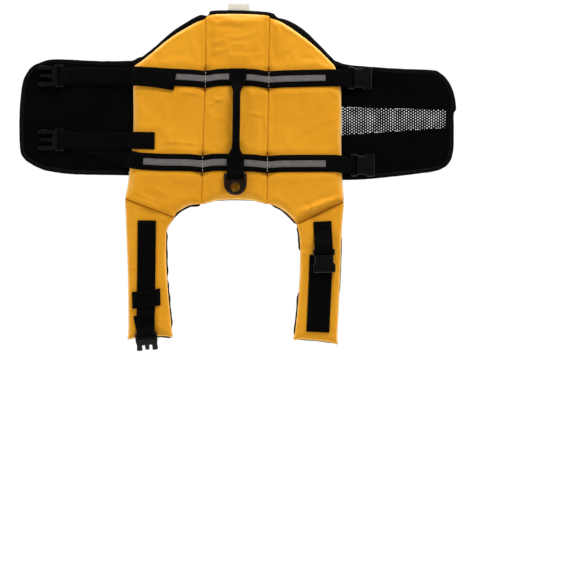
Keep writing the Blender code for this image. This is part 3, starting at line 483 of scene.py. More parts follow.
class PadShape:
    def __init__(self, name, rear, front, left, right, crown):
        self.name, self.crown = name, crown
        self.rear, self.front, self.left, self.right = (np.asarray(e, float) for e in (rear, front, left, right))
        self.width = math.dist(self.patch(0, 0.5), self.patch(1, 0.5))
        self.length = math.dist(self.patch(0.5, 0), self.patch(0.5, 1))
        self.outline = self.border(0.2, 0.2)

    # the plan position at u from left to right and v from rear to front
    def patch(self, u, v):
        a, b, c, d = self.rear[0], self.rear[-1], self.front[0], self.front[-1]
        rearX, frontX = a[0] + (b[0] - a[0]) * u, c[0] + (d[0] - c[0]) * u
        leftY, rightY = a[1] + (c[1] - a[1]) * v, b[1] + (d[1] - b[1]) * v
        rear = rearX, acrossLine(self.rear, rearX, 0)
        front = frontX, acrossLine(self.front, frontX, 0)
        left = acrossLine(self.left, leftY, 1), leftY
        right = acrossLine(self.right, rightY, 1), rightY
        place = []
        for i in range(2):
            ruled = (1 - v) * rear[i] + v * front[i] + (1 - u) * left[i] + u * right[i]
            corners = (1 - v) * ((1 - u) * a[i] + u * b[i]) + v * ((1 - u) * c[i] + u * d[i])
            place.append(ruled - corners)
        return place

    def place(self, u, v, left=0.2, right=0.2, end=0.2):
        low, high, end = left / self.width, 1 - right / self.width, end / self.length
        x, y = self.patch(low + (high - low) * u, end + (1 - 2 * end) * v)
        if not self.name.startswith("neck"):
            return x, y
        # the sewn tips stick out a little, and the end between them draws in
        for (a, b), away in ((self.front[0], -1), (self.front[-1], 1)):
            near = np.exp(-((x - a) ** 2 + (y - b) ** 2) / pads["tipReach"] ** 2)
            x, y = x + away * pads["tipOut"] * near, y - pads["tipOut"] * near
        drawn = np.exp(-((y - (self.front[0][1] + self.front[-1][1]) / 2) / pads["endReach"]) ** 2)
        return x, y + pads["tipDraw"] * drawn * (1 - (2 * u - 1) ** 2)

    def border(self, left, right):
        across, along = 14, 20
        steps = [(i / across, 0) for i in range(across)] + [(1, i / along) for i in range(along)]
        steps += [(1 - i / across, 1) for i in range(across)] + [(0, 1 - i / along) for i in range(along)]
        return np.array([self.place(u, v, left, right) for u, v in steps])

    # height of the foam's top, zero outside the pad
    def height(self, x, y):
        depth = edgeDistance(self.outline, x, y)
        t = 1 - np.minimum(depth / pads["edgeRound"], 1.0)
        rise = pads["outerEdge"] + (self.crown - pads["outerEdge"]) * np.sqrt(1 - t * t)
        return np.where(depth > 0, rise, 0.0)


def makePadShapes():
    sideL, sideR, chanL, chanR = (joinedLine(e) for e in (sideLeft, sideRight, channelLeft, channelRight))
    return [
        PadShape("back_left", joinedLine(domeLeft), joinedLine(diagonalLeft, neckEdgeLeft), sideL, chanL, 12.5),
        PadShape("back_centre", joinedLine(domeCentre), joinedLine(neckEdgeCentre), chanL, chanR, 12.5),
        PadShape("back_right", joinedLine(domeRight), joinedLine(neckEdgeRight, diagonalRight), chanR, sideR, 12.5),
        PadShape("neck_left", joinedLine(diagonalLeft), [strapLeftOuter[-1], strapLeftInner[-1]],
                 joinedLine(strapLeftOuter), joinedLine(strapLeftInner), 9.6),
        PadShape("neck_right", joinedLine(diagonalRight), [strapRightInner[-1], strapRightOuter[-1]],
                 joinedLine(strapRightInner), joinedLine(strapRightOuter), 9.6)]


padShapes = makePadShapes()


# Centre lines of the webbing, in plan. A third column counts the layers of webbing beneath.
webbing = {"width": 25.0, "thick": 1.4, "turn": 3.1, "span": 7.0, "femaleThick": 7.8, "above": 0.8, "step": 1.7,
           "cutEnd": 0.82}
rearLine = [(-247, 146.5), (-195, 147.2), (-148, 147.4), (-100, 144.6), (-66, 142.9), (-45.5, 141.4),
            (-25, 143.8), (4.4, 144.1), (25, 143.4), (45, 140.7), (65, 141.6), (100, 142.6), (141, 143.4)]
frontLine = [(-247, 53.7), (-205, 43), (-155.2, 25.6), (-120, 21.6), (-85, 20.8), (-68, 20.4),
             (-50, 18.9), (-32, 21), (-6, 20.9), (22, 20), (44, 18), (66, 19.2), (100, 19.5), (144, 19.4)]
rearTail = [(-89.4, 137.4, 1), (-148, 144.6, 1), (-246, 146.4, 1)]
frontTail = [(-118.9, 52.2, 0), (-140, 52.6, 0), (-152, 52.8, 0), (-165, 53.0, 1), (-200, 53.3, 1), (-246, 53.7, 1)]
tapeStretches = [("tape_rear_left", -91.0, -10.6, 0.9), ("tape_rear_right", 12.3, 128.2, 0.1),
                 ("tape_front_left", -135.4, -13.7, 0.0), ("tape_front_right", 9.2, 128.6, -0.5)]
maleRear, maleFront = (-254.0, 146.5), (-254.0, 53.7)
femaleRear, femaleFront = (164.0, 143.5), (168.0, 17.0)
neckLeftLine = [(-130.5, -63, 0), (-131.0, -110, 0), (-131.8, -178, 0), (-132.0, -193, 0),
                (-132.2, -200, 1), (-132.3, -208, 1), (-132.3, -217, 1)]
neckLeftReturn = [(-132.4, -222, 0), (-134.8, -211, 0), (-137.2, -199.5, 0)]
neckLeftBar = (-131.6, -229.0, 13.9)
neckRightLine = [(123.7, -64.4), (124.4, -80.0)]
neckRightRise = [(124.9, -87.0, 13.2), (125.3, -97.0, 17.2)]
neckRightReturn = [(125.5, -100.0, 11.8), (125.1, -89.0, 10.9)]
neckRightBar = (125.9, -107.3, 15.8)
keeperRows = [(-152.0, -179.2, 0), (-149.8, -178.8, 0), (-147.2, -178.5, 1), (-116.8, -174.6, 1),
              (-114.2, -174.3, 0), (-111.0, -173.6, 0)]
hookStripLine = [(121.9, -113.4), (120.0, -165.0), (117.2, -224.9)]


def routeSides(route):
    sides = []
    for i in range(len(route)):
        ahead = Vector(route[min(i + 1, len(route) - 1)][:2]) - Vector(route[max(i - 1, 0)][:2])
        if ahead.length < 1.0 and sides:
            sides.append(sides[-1])
            continue
        side = Vector((-ahead.y, ahead.x)).normalized()
        if sides and side.dot(sides[-1]) < 0:
            side = -side
        sides.append(side)
    return sides


# height that a band's underside clears: the highest thing within its width
def carriedHeight(x, y, side, halfWidth):
    ahead = Vector((-side.y, side.x))
    spots = [(x + side.x * halfWidth * a + ahead.x * b, y + side.y * halfWidth * a + ahead.y * b)
             for a in (-1.0, -0.5, 0.0, 0.5, 1.0) for b in (-5.0, 0.0, 5.0)]
    xs, ys = np.array(spots).T
    highest = pads["flapThick"] if abs(x) > 150 and y > -10 else 0.0
    return max([highest] + [float(pad.height(xs, ys).max()) for pad in padShapes])


def laidRows(rows, width=webbing["width"]):
    route = []
    for (x, y, layers), side in zip(rows, routeSides(rows)):
        z = carriedHeight(x, y, side, width / 2) + pads["layGap"] + webbing["thick"] / 2
        route.append((x, y, z + layers * (webbing["thick"] + pads["layGap"])))
    return route


def laidRoute(line, width=webbing["width"], step=6.0):
    rows = [tuple(row) if len(row) == 3 else (*row, 0) for row in line]
    return laidRows([tuple(row) for row in evenPoints(rows, step)], width)


def turnRoute(bar, heading, slack=1.68):
    direction = Vector((math.cos(math.radians(heading)), math.sin(math.radians(heading))))
    route = []
    for angle in (90, 60, 30, 0, -30, -60, -90):
        out, up = (webbing["turn"] * f(math.radians(angle)) for f in (math.cos, math.sin))
        out *= slack
        route.append((bar[0] + direction.x * out, bar[1] + direction.y * out, bar[2] + up))
    return route


# The section of a band with soft edges, as shares of half its width and half its thickness.
bandSection = [(-1.0, 0.0), (-0.985, -0.62), (-0.94, -1.0), (-0.5, -1.0), (0.0, -1.0), (0.5, -1.0), (0.94, -1.0),
               (0.985, -0.62), (1.0, 0.0), (0.985, 0.62), (0.94, 1.0), (0.5, 1.0), (0.0, 1.0), (-0.5, 1.0),
               (-0.94, 1.0), (-0.985, 0.62)]


# stations of a band between its route's points: middle, side and upward directions, and length so far
def bandStations(route, step, sides):
    fine = finePoints([(*point, *side) for point, side in zip(route, sides or routeSides(route))], step)
    middle, side = fine[:, :3], unitRows(np.column_stack([fine[:, 3:5], np.zeros(len(fine))]))
    up = unitRows(np.cross(unitRows(np.gradient(middle, axis=0)), side))
    return middle, side, up, runOf(middle)


def showBand(name, route, width, thick, finish, slot, replaces, sides=None, waver=0.12, seed=1.0):
    middle, side, up, length = bandStations(route, webbing["step"], sides)
    across, raised = np.transpose(bandSection)
    verts, uvs = [], []
    for i, run in enumerate(length):
        spread = width / 2 + waver * waverAt(run, 14, seed)
        drift = waver * waverAt(run, 23, seed, 5.0)
        tall = thick / 2 * (webbing["cutEnd"] if i in (0, len(length) - 1) else 1.0)
        verts += list(middle[i] + side[i] * (across * spread + drift)[:, None] + up[i] * (raised * tall)[:, None])
        uvs += [((width + a * spread) * mm, run * mm) for a in across]
    return showPiece(name, verts, tubeFaces(len(length), len(across)), finish, replaces=replaces, uvs=uvs,
                     sharp=60)


def showWeb(name, route, node, width=webbing["width"], **rest):
    return showBand(name, route, width, webbing["thick"], webbingCloth, "webbing", [node], **rest)


# Folds in the shell cloth: a line, its half width and its height, below zero for a trough.
shellFolds = {
    "back_centre": [
        ([(-38, 194), (-20, 198)], 2.3, 1.0), ([(-22, 204), (4, 202), (30, 210)], 3.2, 0.8),
        ([(-9, 193), (14, 191)], 2.3, 0.7), ([(-38, 180), (-16, 184)], 2.3, 0.8),
        ([(-33, 218), (13, 216)], 4.1, -0.9), ([(-16, 182), (30, 180)], 3.4, -0.8),
        ([(-35, 188), (-13, 190)], 2.0, -0.5), ([(19, 175), (42, 180)], 2.5, 0.4),
        ([(-37, 116), (-19, 108)], 1.5, 0.8), ([(-46, 101), (-22, 114)], 1.6, 0.9),
        ([(-44, 109), (-32, 110)], 1.8, -0.5), ([(-36, 87), (-16, 84)], 4.4, 0.6),
        ([(12, 92), (38, 91)], 2.3, 0.6), ([(12, 125), (32, 123)], 1.8, 0.4),
        ([(-45, 123), (-16, 122)], 2.3, -0.4), ([(13, 45), (39, 44)], 2.3, 0.5)],
    "back_left": [
        ([(-83, 125), (-66, 121), (-52, 116)], 1.6, 0.9), ([(-145, 106), (-123, 84)], 1.6, 0.3),
        ([(-118, 49), (-86, 50.5), (-51, 47)], 1.7, 0.9), ([(-104, 44.5), (-58, 43)], 1.9, -0.5),
        ([(-126, 181), (-94, 193)], 2.5, 0.5), ([(-90, 170), (-54, 165)], 2.3, 0.4),
        ([(-104, 175), (-68, 178)], 3.1, -0.4), ([(-75, 210), (-54, 213)], 2.3, 0.4),
        ([(-126, -13), (-97, -28)], 2.5, 0.6), ([(-130, -22), (-112, -35)], 2.3, -0.4),
        ([(-90, -4), (-57, -13)], 2.3, 0.4), ([(-156, -27.3), (-126, -39.4), (-95, -51.3)], 3.2, 1.9)],
    "back_right": [
        ([(146, 84), (120, 78), (94, 62), (68, 45)], 2.0, 0.55), ([(144, 77), (100, 57)], 2.3, -0.3),
        ([(86, 87), (97, 87)], 1.7, 0.4), ([(61, 181), (77, 186), (88, 197)], 2.5, 0.7),
        ([(67, 213), (86, 209)], 2.3, 0.5), ([(91, 173), (115, 170)], 3.4, -0.6),
        ([(57, 119), (123, 125)], 2.3, 0.4), ([(88, -55), (97, -50), (122, -40), (150, -31.5)], 4.6, 4.4),
        ([(97, -61.5), (126, -48.5), (142, -41.5)], 3.0, -2.6),
        ([(102, -39), (109, -52)], 2.8, -2.0), ([(95, -56), (104, -57.5)], 2.5, 1.8),
        ([(117, -45), (121, -53)], 2.3, 1.5), ([(131, -38), (136, -46)], 2.2, -1.1)],
    "neck_left": [
        ([(-107, -106), (-105, -142), (-103, -178)], 2.0, 0.6), ([(-116, -222), (-107, -218), (-99, -209)], 1.6, 0.7),
        ([(-115, -215), (-103, -204)], 1.7, -0.5), ([(-154, -84), (-152, -123)], 2.0, 0.4),
        ([(-157, -40), (-126, -52), (-99, -66)], 2.3, 1.3), ([(-147, -52), (-113, -64)], 1.9, -0.6)],
    "neck_right": [
        ([(91, -109), (103, -112)], 1.6, 0.7), ([(93, -103), (103, -104)], 1.6, -0.5),
        ([(96, -123), (93, -178)], 2.0, 0.5), ([(88, -222), (97, -231)], 1.8, 0.6),
        ([(117, -232), (142, -231)], 1.8, 0.6), ([(141, -135), (142, -200)], 1.8, 0.5),
        ([(100, -65), (107, -91)], 2.3, 0.4), ([(96, -72), (124, -60), (150, -46)], 2.2, 0.9)],
}
# Most of its last keys size the painted highlight near the free edges and the painted shade along the seams.
shell = {"step": 2.1, "edgeSteps": [0, 0.3, 0.8, 1.5, 2.5, 3.8, 5.4, 7.4], "inset": (0.06, 0.06, 0.03),
         "puff": 1.5, "puffReach": 26.0, "pressReach": 9.0, "pucker": 0.35, "puckerPitch": 8.0, "waves": 0.35,
         "seamReach": 9.0, "seamLift": 4.4, "seamTight": 0.45, "folds": 1.35, "rollOut": (0.35, 0.40, 0.0),
         "rollHeights": (5.15, 4.75, 4.42), "keepBroad": 0.30, "broadCap": 5.0, "keepFine": 1.0, "fineCap": 1.6,
         "base": 4.4, "edgeEase": 4.0, "riseEase": 5.0, "puckerAt": 3.0, "puckerHalf": 4.5, "puckerPressed": 0.3,
         "waveSizes": (31.0, 12.0), "fineWaves": 0.45, "drawReach": 24.0, "drawAlong": 0.85, "drawAside": 0.56,
         "rimHighlightFrom": 3.0, "rimHighlightSpan": 13.0, "rimHighlightReach": 22.0, "narrowSeamShade": 0.6, "foldShade": 0.75, "foldShadeReach": 11.0,
         "channelShade": 0.1, "channelsWithin": 75.0}
# What lies on the cloth and presses it down: a line and half its width.
pressedBy = [(rearLine, 12.5), (frontLine, 12.5), ([(1.3, 157), (1.3, 131)], 12.5), ([(-2.2, 33), (-2.2, 5)], 12.5),
             ([(-130.5, -63), (-131.8, -178), (-132.3, -231)], 12.5), ([(123.7, -66), (124.6, -90)], 12.5),
             (hookStripLine, 16.2), ([(-92.8, 138.8), (-148, 144.6)], 12.5), ([(-118.9, 52.2), (-152, 52.8)], 12.5),
             ([(-152, -181), (-111, -177)], 12.5)]


def padShares(length, step, near):
    near = [s / length for s in near]
    count = max(2, round((1 - 2 * near[-1]) * length / step))
    inner = [near[-1] + (1 - 2 * near[-1]) * i / count for i in range(1, count)]
    return np.array(near + inner + [1 - t for t in reversed(near)])


def easeIn(t):
    t = np.clip(t, 0, 1)
    return t * t * (3 - 2 * t)


def pressAt(x, y):
    press = np.zeros(np.shape(x))
    for line, half in pressedBy:
        gap = lineDistance(line, x, y)[0] - half
        press = np.maximum(press, 1 - easeIn(gap / shell["pressReach"]))
    return press


def foldHeight(folds, x, y):
    height = np.zeros(np.shape(x))
    for line, half, rise in folds:
        line = evenPoints(line, 4.0) if len(line) > 2 else line
        gap, share = lineDistance(line, x, y)
        ends = np.minimum(share, 1 - share)
        height += rise * np.exp(-(gap / half) ** 2) * (0.35 + 0.65 * easeIn(ends / 0.25))
    return height


def borderOf(rows, columns):
    ring = list(range(columns - 1)) + [j * columns + columns - 1 for j in range(rows - 1)]
    ring += [(rows - 1) * columns + i for i in range(columns - 1, 0, -1)]
    return ring + [j * columns for j in range(rows - 1, 0, -1)]


# Loose cloth over a pad, blown up by a cloth simulation: its border and what lies on it hold it down.
settling = {"step": 3.3, "frames": 20, "pressure": 4.0, "slack": 0.010, "mass": 0.3, "stiff": 15.0, "bend": 0.5}


def settledCloth(width, length, at, plain, held, low):
    us = np.linspace(0, 1, max(6, round(width / settling["step"])) + 1)
    vs = np.linspace(0, 1, max(6, round(length / settling["step"])) + 1)
    u, v = (a.ravel() for a in np.meshgrid(us, vs))
    x, y = at(u, v)
    z = plain(x, y)
    count, ring = len(x), set(borderOf(len(vs), len(us)))
    inner = [k for k in range(count) if k not in ring]
    under = {k: k for k in ring}
    under.update({k: count + i for i, k in enumerate(inner)})
    points = [(a * mm, b * mm, c * mm) for a, b, c in zip(x, y, z)]
    points += [(x[k] * mm, y[k] * mm, low * mm) for k in inner]
    faces = gridFaces(len(vs), len(us))
    faces += [tuple(under[i] for i in face[::-1]) for face in list(faces)]
    mesh = bpy.data.meshes.new("settling")
    mesh.from_pydata(points, [], faces)
    trial = addObject("settling", mesh)
    pins = trial.vertex_groups.new(name="pins")
    holds = np.flatnonzero(held(x, y))
    pins.add([int(k) for k in set(holds) | ring | set(range(count, len(points)))], 1.0, "REPLACE")
    cloth = trial.modifiers.new("settling", "CLOTH")
    rules = cloth.settings
    rules.quality, rules.mass, rules.vertex_group_mass = 5, settling["mass"], "pins"
    rules.tension_stiffness = rules.compression_stiffness = settling["stiff"]
    rules.bending_stiffness, rules.shrink_min = settling["bend"], -settling["slack"]
    rules.use_pressure, rules.uniform_pressure_force = True, settling["pressure"]
    rules.effector_weights.gravity = 0
    cloth.collision_settings.use_collision = False
    cloth.point_cache.frame_start, cloth.point_cache.frame_end = 1, settling["frames"]
    for step in range(1, settling["frames"] + 1):
        bpy.context.scene.frame_set(step)
    done = trial.evaluated_get(bpy.context.evaluated_depsgraph_get()).to_mesh()
    settled = np.array([done.vertices[k].co.z for k in range(count)]) / mm
    bpy.data.objects.remove(trial)
    bpy.data.meshes.remove(mesh)
    bpy.context.scene.frame_set(1)
    return us, vs, (settled - z).reshape(len(vs), len(us))


# the settled cloth's rise, read at u and v
def riseAt(settled, u, v):
    us, vs, rise = settled
    i = np.clip(np.searchsorted(us, u) - 1, 0, len(us) - 2)
    j = np.clip(np.searchsorted(vs, v) - 1, 0, len(vs) - 2)
    a, b = (u - us[i]) / (us[i + 1] - us[i]), (v - vs[j]) / (vs[j + 1] - vs[j])
    return ((1 - a) * (1 - b) * rise[j, i] + a * (1 - b) * rise[j, i + 1] + (1 - a) * b * rise[j + 1, i]
            + a * b * rise[j + 1, i + 1])


# the rise at u and v, and what is left of it when it has been smoothed
def riseOver(settled, u, v, rounds):
    us, vs, rise = settled
    smooth = rise
    for _ in range(rounds):
        padded = np.pad(smooth, 1, mode="edge")
        smooth = (padded[:-2, 1:-1] + padded[2:, 1:-1] + padded[1:-1, :-2] + padded[1:-1, 2:] + 2 * smooth) / 6
    return riseAt(settled, u, v), riseAt((us, vs, smooth), u, v)


# how far each border point is pushed out of the pad, along its own normal
def outwards(points):
    ahead = unitRows(np.roll(points, -1, axis=0) - np.roll(points, 1, axis=0))
    normal = np.column_stack([ahead[:, 1], -ahead[:, 0]])
    return -normal if edgeDistance(points, *(points[:1] + normal[:1] * 0.5).T)[0] > 0 else normal


# closes a grid of cloth with rings that roll under its edge, and a flat side
def closeCloth(verts, faces, ring, steps, flatUp):
    outline = verts[ring, :2]
    normal, last = outwards(outline), ring
    for outs, z in steps:
        new = list(range(len(verts), len(verts) + len(ring)))
        verts = np.vstack([verts, np.column_stack([outline + normal * outs[:, None], np.full(len(ring), z)])])
        faces += [(last[k - 1], last[k], new[k], new[k - 1]) for k in [*range(1, len(ring)), 0]]
        last = new
    return verts, faces + [tuple(last if flatUp else last[::-1])]


# 1 on a seam between two pads, falling to 0 away from it
def joinedTo(pad, x, y, reach):
    joined = np.zeros(np.shape(x))
    for other in padShapes:
        if other is not pad:
            joined = np.maximum(joined, 1 - easeIn((lineDistance(closed(other.outline), x, y)[0] - 1.0) / reach))
    return joined


# a grid over a pad, finer near its edges: faces, shares, places, border, outline and depth
def padGrid(form, width, length, at):
    us, vs = (padShares(span, form["step"], form["edgeSteps"]) for span in (width, length))
    u, v = (a.ravel() for a in np.meshgrid(us, vs))
    x, y = at(u, v)
    ring = borderOf(len(vs), len(us))
    outline = np.column_stack([x, y])[ring]
    depth = edgeDistance(outline, x, y)
    depth[ring] = 0.0
    return gridFaces(len(vs), len(us)), u, v, x, y, ring, outline, depth


def shellForm(pad, x, y, depth):
    press = pressAt(x, y)
    joined = joinedTo(pad, x, y, shell["seamReach"]) * (1 - press)
    joined *= np.where(np.abs(x) < shell["channelsWithin"], 1.0, np.where(x < 0, 0.8, 0.4))
    edge = pads["outerEdge"] + shell["seamLift"] * joined
    reach = pads["edgeRound"] * (1 - shell["seamTight"] * joined)
    t = 1 - np.minimum(depth / reach, 1.0)
    return edge + (pad.crown - edge) * np.sqrt(1 - t * t), press


# The shell stops short of the dome's edge, which leaves the binding to be seen: x and how far.
domeDraw = [(-148, 0.0), (-138, 1.6), (-125, 2.6), (-80, 2.9), (-66, 1.8), (-56, 1.0), (-45.5, 1.0), (-45.2, 3.6),
            (-42, 2.6), (-37, 1.2), (-28, 0.5), (47, 0.4), (60, 0.6), (100, 0.8), (135, 0.5)]


def drawnIn(pad, x, y):
    if pad.name.startswith("neck"):
        return x, y
    near = 1 - easeIn(lineDistance(pad.rear, x, y)[0] / shell["drawReach"])
    amount = np.interp(x, *np.transpose(domeDraw)) * near
    return x + shell["drawAside"] * amount * easeIn((-52 - x) / 18), y - shell["drawAlong"] * amount


def showShell(pad):
    at = lambda a, b: drawnIn(pad, *pad.place(a, b, *shell["inset"]))
    faces, u, v, x, y, ring, outline, depth = padGrid(shell, pad.width, pad.length, at)
    z, press = shellForm(pad, x, y, depth)
    loose, edge = 1 - press, easeIn(depth / shell["edgeEase"])
    plain = lambda a, b: shellForm(pad, a, b, edgeDistance(outline, a, b))[0]
    settled = settledCloth(pad.width, pad.length, at, plain, lambda a, b: pressAt(a, b) > 0.6, shell["base"])
    rise, broad = riseOver(settled, u, v, 40)
    for keep, part, cap in (("keepBroad", broad, "broadCap"), ("keepFine", rise - broad, "fineCap")):
        z += shell[keep] * np.tanh(part / shell[cap]) * shell[cap] * easeIn(depth / shell["riseEase"])
    z += shell["puff"] * easeIn(depth / shell["puffReach"]) * loose
    gap, share = lineDistance(closed(outline), x, y)
    run = share * runOf(outline)[-1]
    along = np.array([waverAt(r, shell["puckerPitch"], pad.width) for r in run])
    band = np.exp(-((gap - shell["puckerAt"]) / shell["puckerHalf"]) ** 2) * easeIn(gap / 2.0)
    z += shell["pucker"] * along * band * (shell["puckerPressed"] + (1 - shell["puckerPressed"]) * loose)
    z += edge * loose * shell["folds"] * foldHeight(shellFolds[pad.name], x, y)
    broad, fine = (ripple(x, y, size, seed) for size, seed in zip(shell["waveSizes"], (pad.width, 9.0)))
    z += edge * loose * shell["waves"] * (broad + shell["fineWaves"] * fine)
    free = 1 - joinedTo(pad, *outline.T, 3.0)
    steps = [(out * free, height) for out, height in zip(shell["rollOut"], shell["rollHeights"])]
    verts, faces = closeCloth(np.column_stack([x, y, z]), faces, ring, steps, False)
    piece = showPiece("shell_" + pad.name, verts, faces, yellow, replaces=["outer_" + pad.name],
                      sharp=55)
    x, y = verts[:, :2].T
    # painted highlight near its free edges, painted shade along the seams and under the fold over the right neck strap
    pale = 1 - easeIn((edgeDistance(outline, x, y) - shell["rimHighlightFrom"]) / shell["rimHighlightSpan"])
    narrowSeamShade = joinedTo(pad, x, y, shell["narrowSeamShade"])
    fold = shell["foldShade"] * joinedTo(pad, x, y, shell["foldShadeReach"]) if pad.name == "back_right" else 0.0
    seam = np.where(np.abs(x) > shell["channelsWithin"], np.maximum(narrowSeamShade, fold), shell["channelShade"] * narrowSeamShade)
    for name, shares in (("rimHighlightArea", (1 - joinedTo(pad, x, y, shell["rimHighlightReach"])) * pale), ("seam", seam)):
        piece.data.attributes.new(name, "FLOAT", "POINT").data.foreach_set("value", shares)


lining = {"step": 2.8, "edgeSteps": [0, 0.4, 1.0, 1.9, 3.2, 5.0], "top": 4.1, "round": 8.0, "lift": 2.2, "waves": 0.4,
          "furrow": 1.1, "deepest": 1.5, "dentSizes": (26.0, 11.0), "edgeEase": 6.0, "showsWithin": 5.0,
          "rollHeights": (3.0, 3.6, 4.2, 4.34)}
# Insets at the left and right, and the height of the underside.
liningInsets = [(0.2, 5.0, 0.0), (5.0, 5.0, 0.0), (5.0, 0.2, 0.0), (0.2, 0.2, 1.6), (0.2, 0.2, 0.0)]
# Creases of the underside: line, half width, depth.
liningFolds = {
    "back_left": [
        ([(-150, 40), (-120, 62), (-92, 92)], 3.0, 0.9), ([(-146, 110), (-112, 92), (-80, 86)], 2.6, 0.8),
        ([(-140, 20), (-104, 34), (-70, 40)], 2.4, 0.6), ([(-128, 150), (-98, 128), (-76, 120)], 3.2, 0.7),
        ([(-118, 4), (-86, -10)], 2.6, 0.7), ([(-106, 182), (-70, 160)], 2.8, 0.6),
        ([(-92, 60), (-62, 58)], 2.2, 0.5), ([(-146, -20), (-110, -32)], 3.0, 0.8)],
    "back_centre": [
        ([(-36, 150), (0, 146), (30, 152)], 2.8, 0.7), ([(-30, 96), (10, 92)], 2.6, 0.6),
        ([(-20, 52), (34, 46)], 2.8, 0.7), ([(-34, 196), (12, 204)], 2.4, 0.5),
        ([(-30, 8), (20, 2)], 2.6, 0.6), ([(6, 120), (36, 114)], 2.2, 0.5)],
    "back_right": [
        ([(146, 96), (112, 70), (84, 30)], 3.0, 0.9), ([(134, 132), (98, 112), (66, 104)], 2.6, 0.8),
        ([(120, 6), (92, 26), (60, 30)], 2.4, 0.6), ([(126, 160), (92, 166)], 2.8, 0.6),
        ([(148, 42), (118, 34)], 2.2, 0.6), ([(104, -20), (70, -12)], 2.6, 0.6),
        ([(142, -14), (116, -30)], 2.8, 0.8)],
    "neck_left": [
        ([(-150, -52), (-116, -78)], 2.8, 0.8), ([(-146, -96), (-112, -92)], 2.2, 0.5),
        ([(-154, -226), (-116, -230)], 2.2, 0.5)],
    "neck_right": [
        ([(146, -56), (108, -82)], 2.8, 0.8), ([(140, -112), (104, -122)], 2.6, 0.6),
        ([(136, -168), (96, -160)], 2.4, 0.7), ([(128, -206), (94, -214)], 2.4, 0.6)]}
# Stretches where the lining shows past the shell: line, amount.
liningShows = [([(-92, -59), (-86, -50.0), (-68, -40.6), (-50, -39)], 3.0), ([(-30, -33.4), (24, -33.4)], 0.9),
               ([(48, -40), (56, -42), (72, -52), (88, -70)], 2.7), ([(-103.2, -76), (-103, -148)], 2.4),
               ([(-102, -146), (-98, -222)], 2.3), ([(89, -70), (92.2, -108)], 2.9), ([(91, -165), (84, -233)], 2.3),
               ([(-122, -234), (-94, -233)], 2.0), ([(151, -84), (148, -170)], 1.1), ([(86, -237), (140, -241)], 1.2)]


def liningPast(outline):
    past = np.zeros(len(outline))
    uneven = 0.8 + 0.45 * ripple(*outline.T, 12, 2.0)
    for line, amount in liningShows:
        gap, share = lineDistance(line, *outline.T)
        ends = easeIn(np.minimum(share, 1 - share) / 0.15)
        past = np.maximum(past, amount * ends * uneven * (gap < lining["showsWithin"]))
    return past


def showLining(pad, left, right, base):
    width = pad.width - left - right
    at = lambda a, b: pad.place(a, b, left, right, 0.1)
    faces, u, v, x, y, ring, outline, depth = padGrid(lining, width, pad.length, at)

    # height above the surface it rests on: rolled up to its edge
    def roll(depth):
        t = 1 - np.minimum(depth / lining["round"], 1.0)
        return lining["lift"] * (1 - np.sqrt(1 - t * t)) * (1 if base == 0 else 0.5)

    plain = lambda a, b: lining["top"] - roll(edgeDistance(outline, a, b))
    settled = settledCloth(width, pad.length, at, plain, lambda a, b: np.zeros(len(a), bool), 0.0)
    rise, broad = riseOver(settled, u, v, 40)
    furrows = np.clip((broad - rise) * lining["furrow"], 0, lining["deepest"])
    broad, fine = (ripple(x, y, size, seed) for size, seed in zip(lining["dentSizes"], (3.0, 8.0)))
    dents = np.maximum(0, 0.5 * broad + 0.25 * fine) * lining["waves"]
    folds = foldHeight(liningFolds[pad.name], x, y)
    z = base + roll(depth) + (furrows + dents + folds) * easeIn(depth / lining["edgeEase"])
    free, past = 1 - joinedTo(pad, *outline.T, 3.0), liningPast(outline)
    outs = (0.3 + 0.25 * free + 0.6 * past, 0.3 + 0.55 * free + past, 0.1 + 0.3 * free + past, 0 * free)
    verts, faces = closeCloth(np.column_stack([x, y, z]), [face[::-1] for face in faces], ring,
                              zip(outs, lining["rollHeights"]), True)
    piece = showPiece("lining_cloth_" + pad.name, verts, faces, charcoal,
                      replaces=["lining_" + pad.name], sharp=55)


for pad, insets in zip(padShapes, liningInsets):
    showShell(pad)
    showLining(pad, *insets)
print("pads clothed")


# A soft band between two edges, round in section, for bindings.
def showRoundedBand(name, outer, inner, low, high, finish, slot, replaces, square, sides=16, waver=0.25,
                    seed=2.0, body="jacket"):
    outer, inner = np.asarray(outer, float), np.asarray(inner, float)
    turns = [2 * math.pi * k / sides for k in range(sides)]
    section = [[math.copysign(abs(c) ** square, c) for c in (math.cos(a), math.sin(a))] for a in turns]
    verts, uvs = [], []
    for out, into, run in zip(outer, inner, runOf(outer)):
        middle, half = (out + into) / 2, (into - out) / 2
        bump = waver * waverAt(run, 9, seed)
        for across, raised in section:
            x, y = middle + half * (across + (bump * 0.25 if across < 0 else 0))
            verts.append((x, y, (low + high) / 2 + raised * (high - low) / 2 * (1 + 0.3 * bump)))
            uvs.append((np.linalg.norm(half) * (1 + across) * mm, run * mm))
    return showPiece(name, verts, tubeFaces(len(outer), sides), finish, body, replaces, uvs, 60)


hinge = {"half": 4.9, "low": 2.2, "high": 4.1, "rear": 231.5, "front": -38.9}


def showHinges():
    for name, line in (("hinge_left", channelLeft), ("hinge_right", channelRight)):
        points = [p for p in joinedLine(line, count=24) if hinge["front"] + 0.5 < p[1] < hinge["rear"]]
        points = np.array(points + [(line[-1][0], hinge["front"])])
        sides = (offsetLine(points, aside) for aside in (hinge["half"], -hinge["half"]))
        showRoundedBand(name + "_strip", *sides, hinge["low"], hinge["high"], charcoal, "lining_nylon", [name],
                        0.5, 12, 0.2, 6.0)


bindingDomeEdge = [(-153, 169.3), (-149, 170.2), (-143.4, 173.6), (-138, 175.0), (-134, 177.6), (-116.4, 191.8),
                   (-95.1, 210.6), (-74, 224.6), (-54.8, 235), (-42, 234.6), (-37.7, 241.3), (4.4, 242.2), (48.6, 239),
                   (58.6, 232), (74, 227.5), (94.3, 216), (114.1, 197.8), (139.5, 171.6), (144.5, 168.4),
                   (152.5, 165.6)]
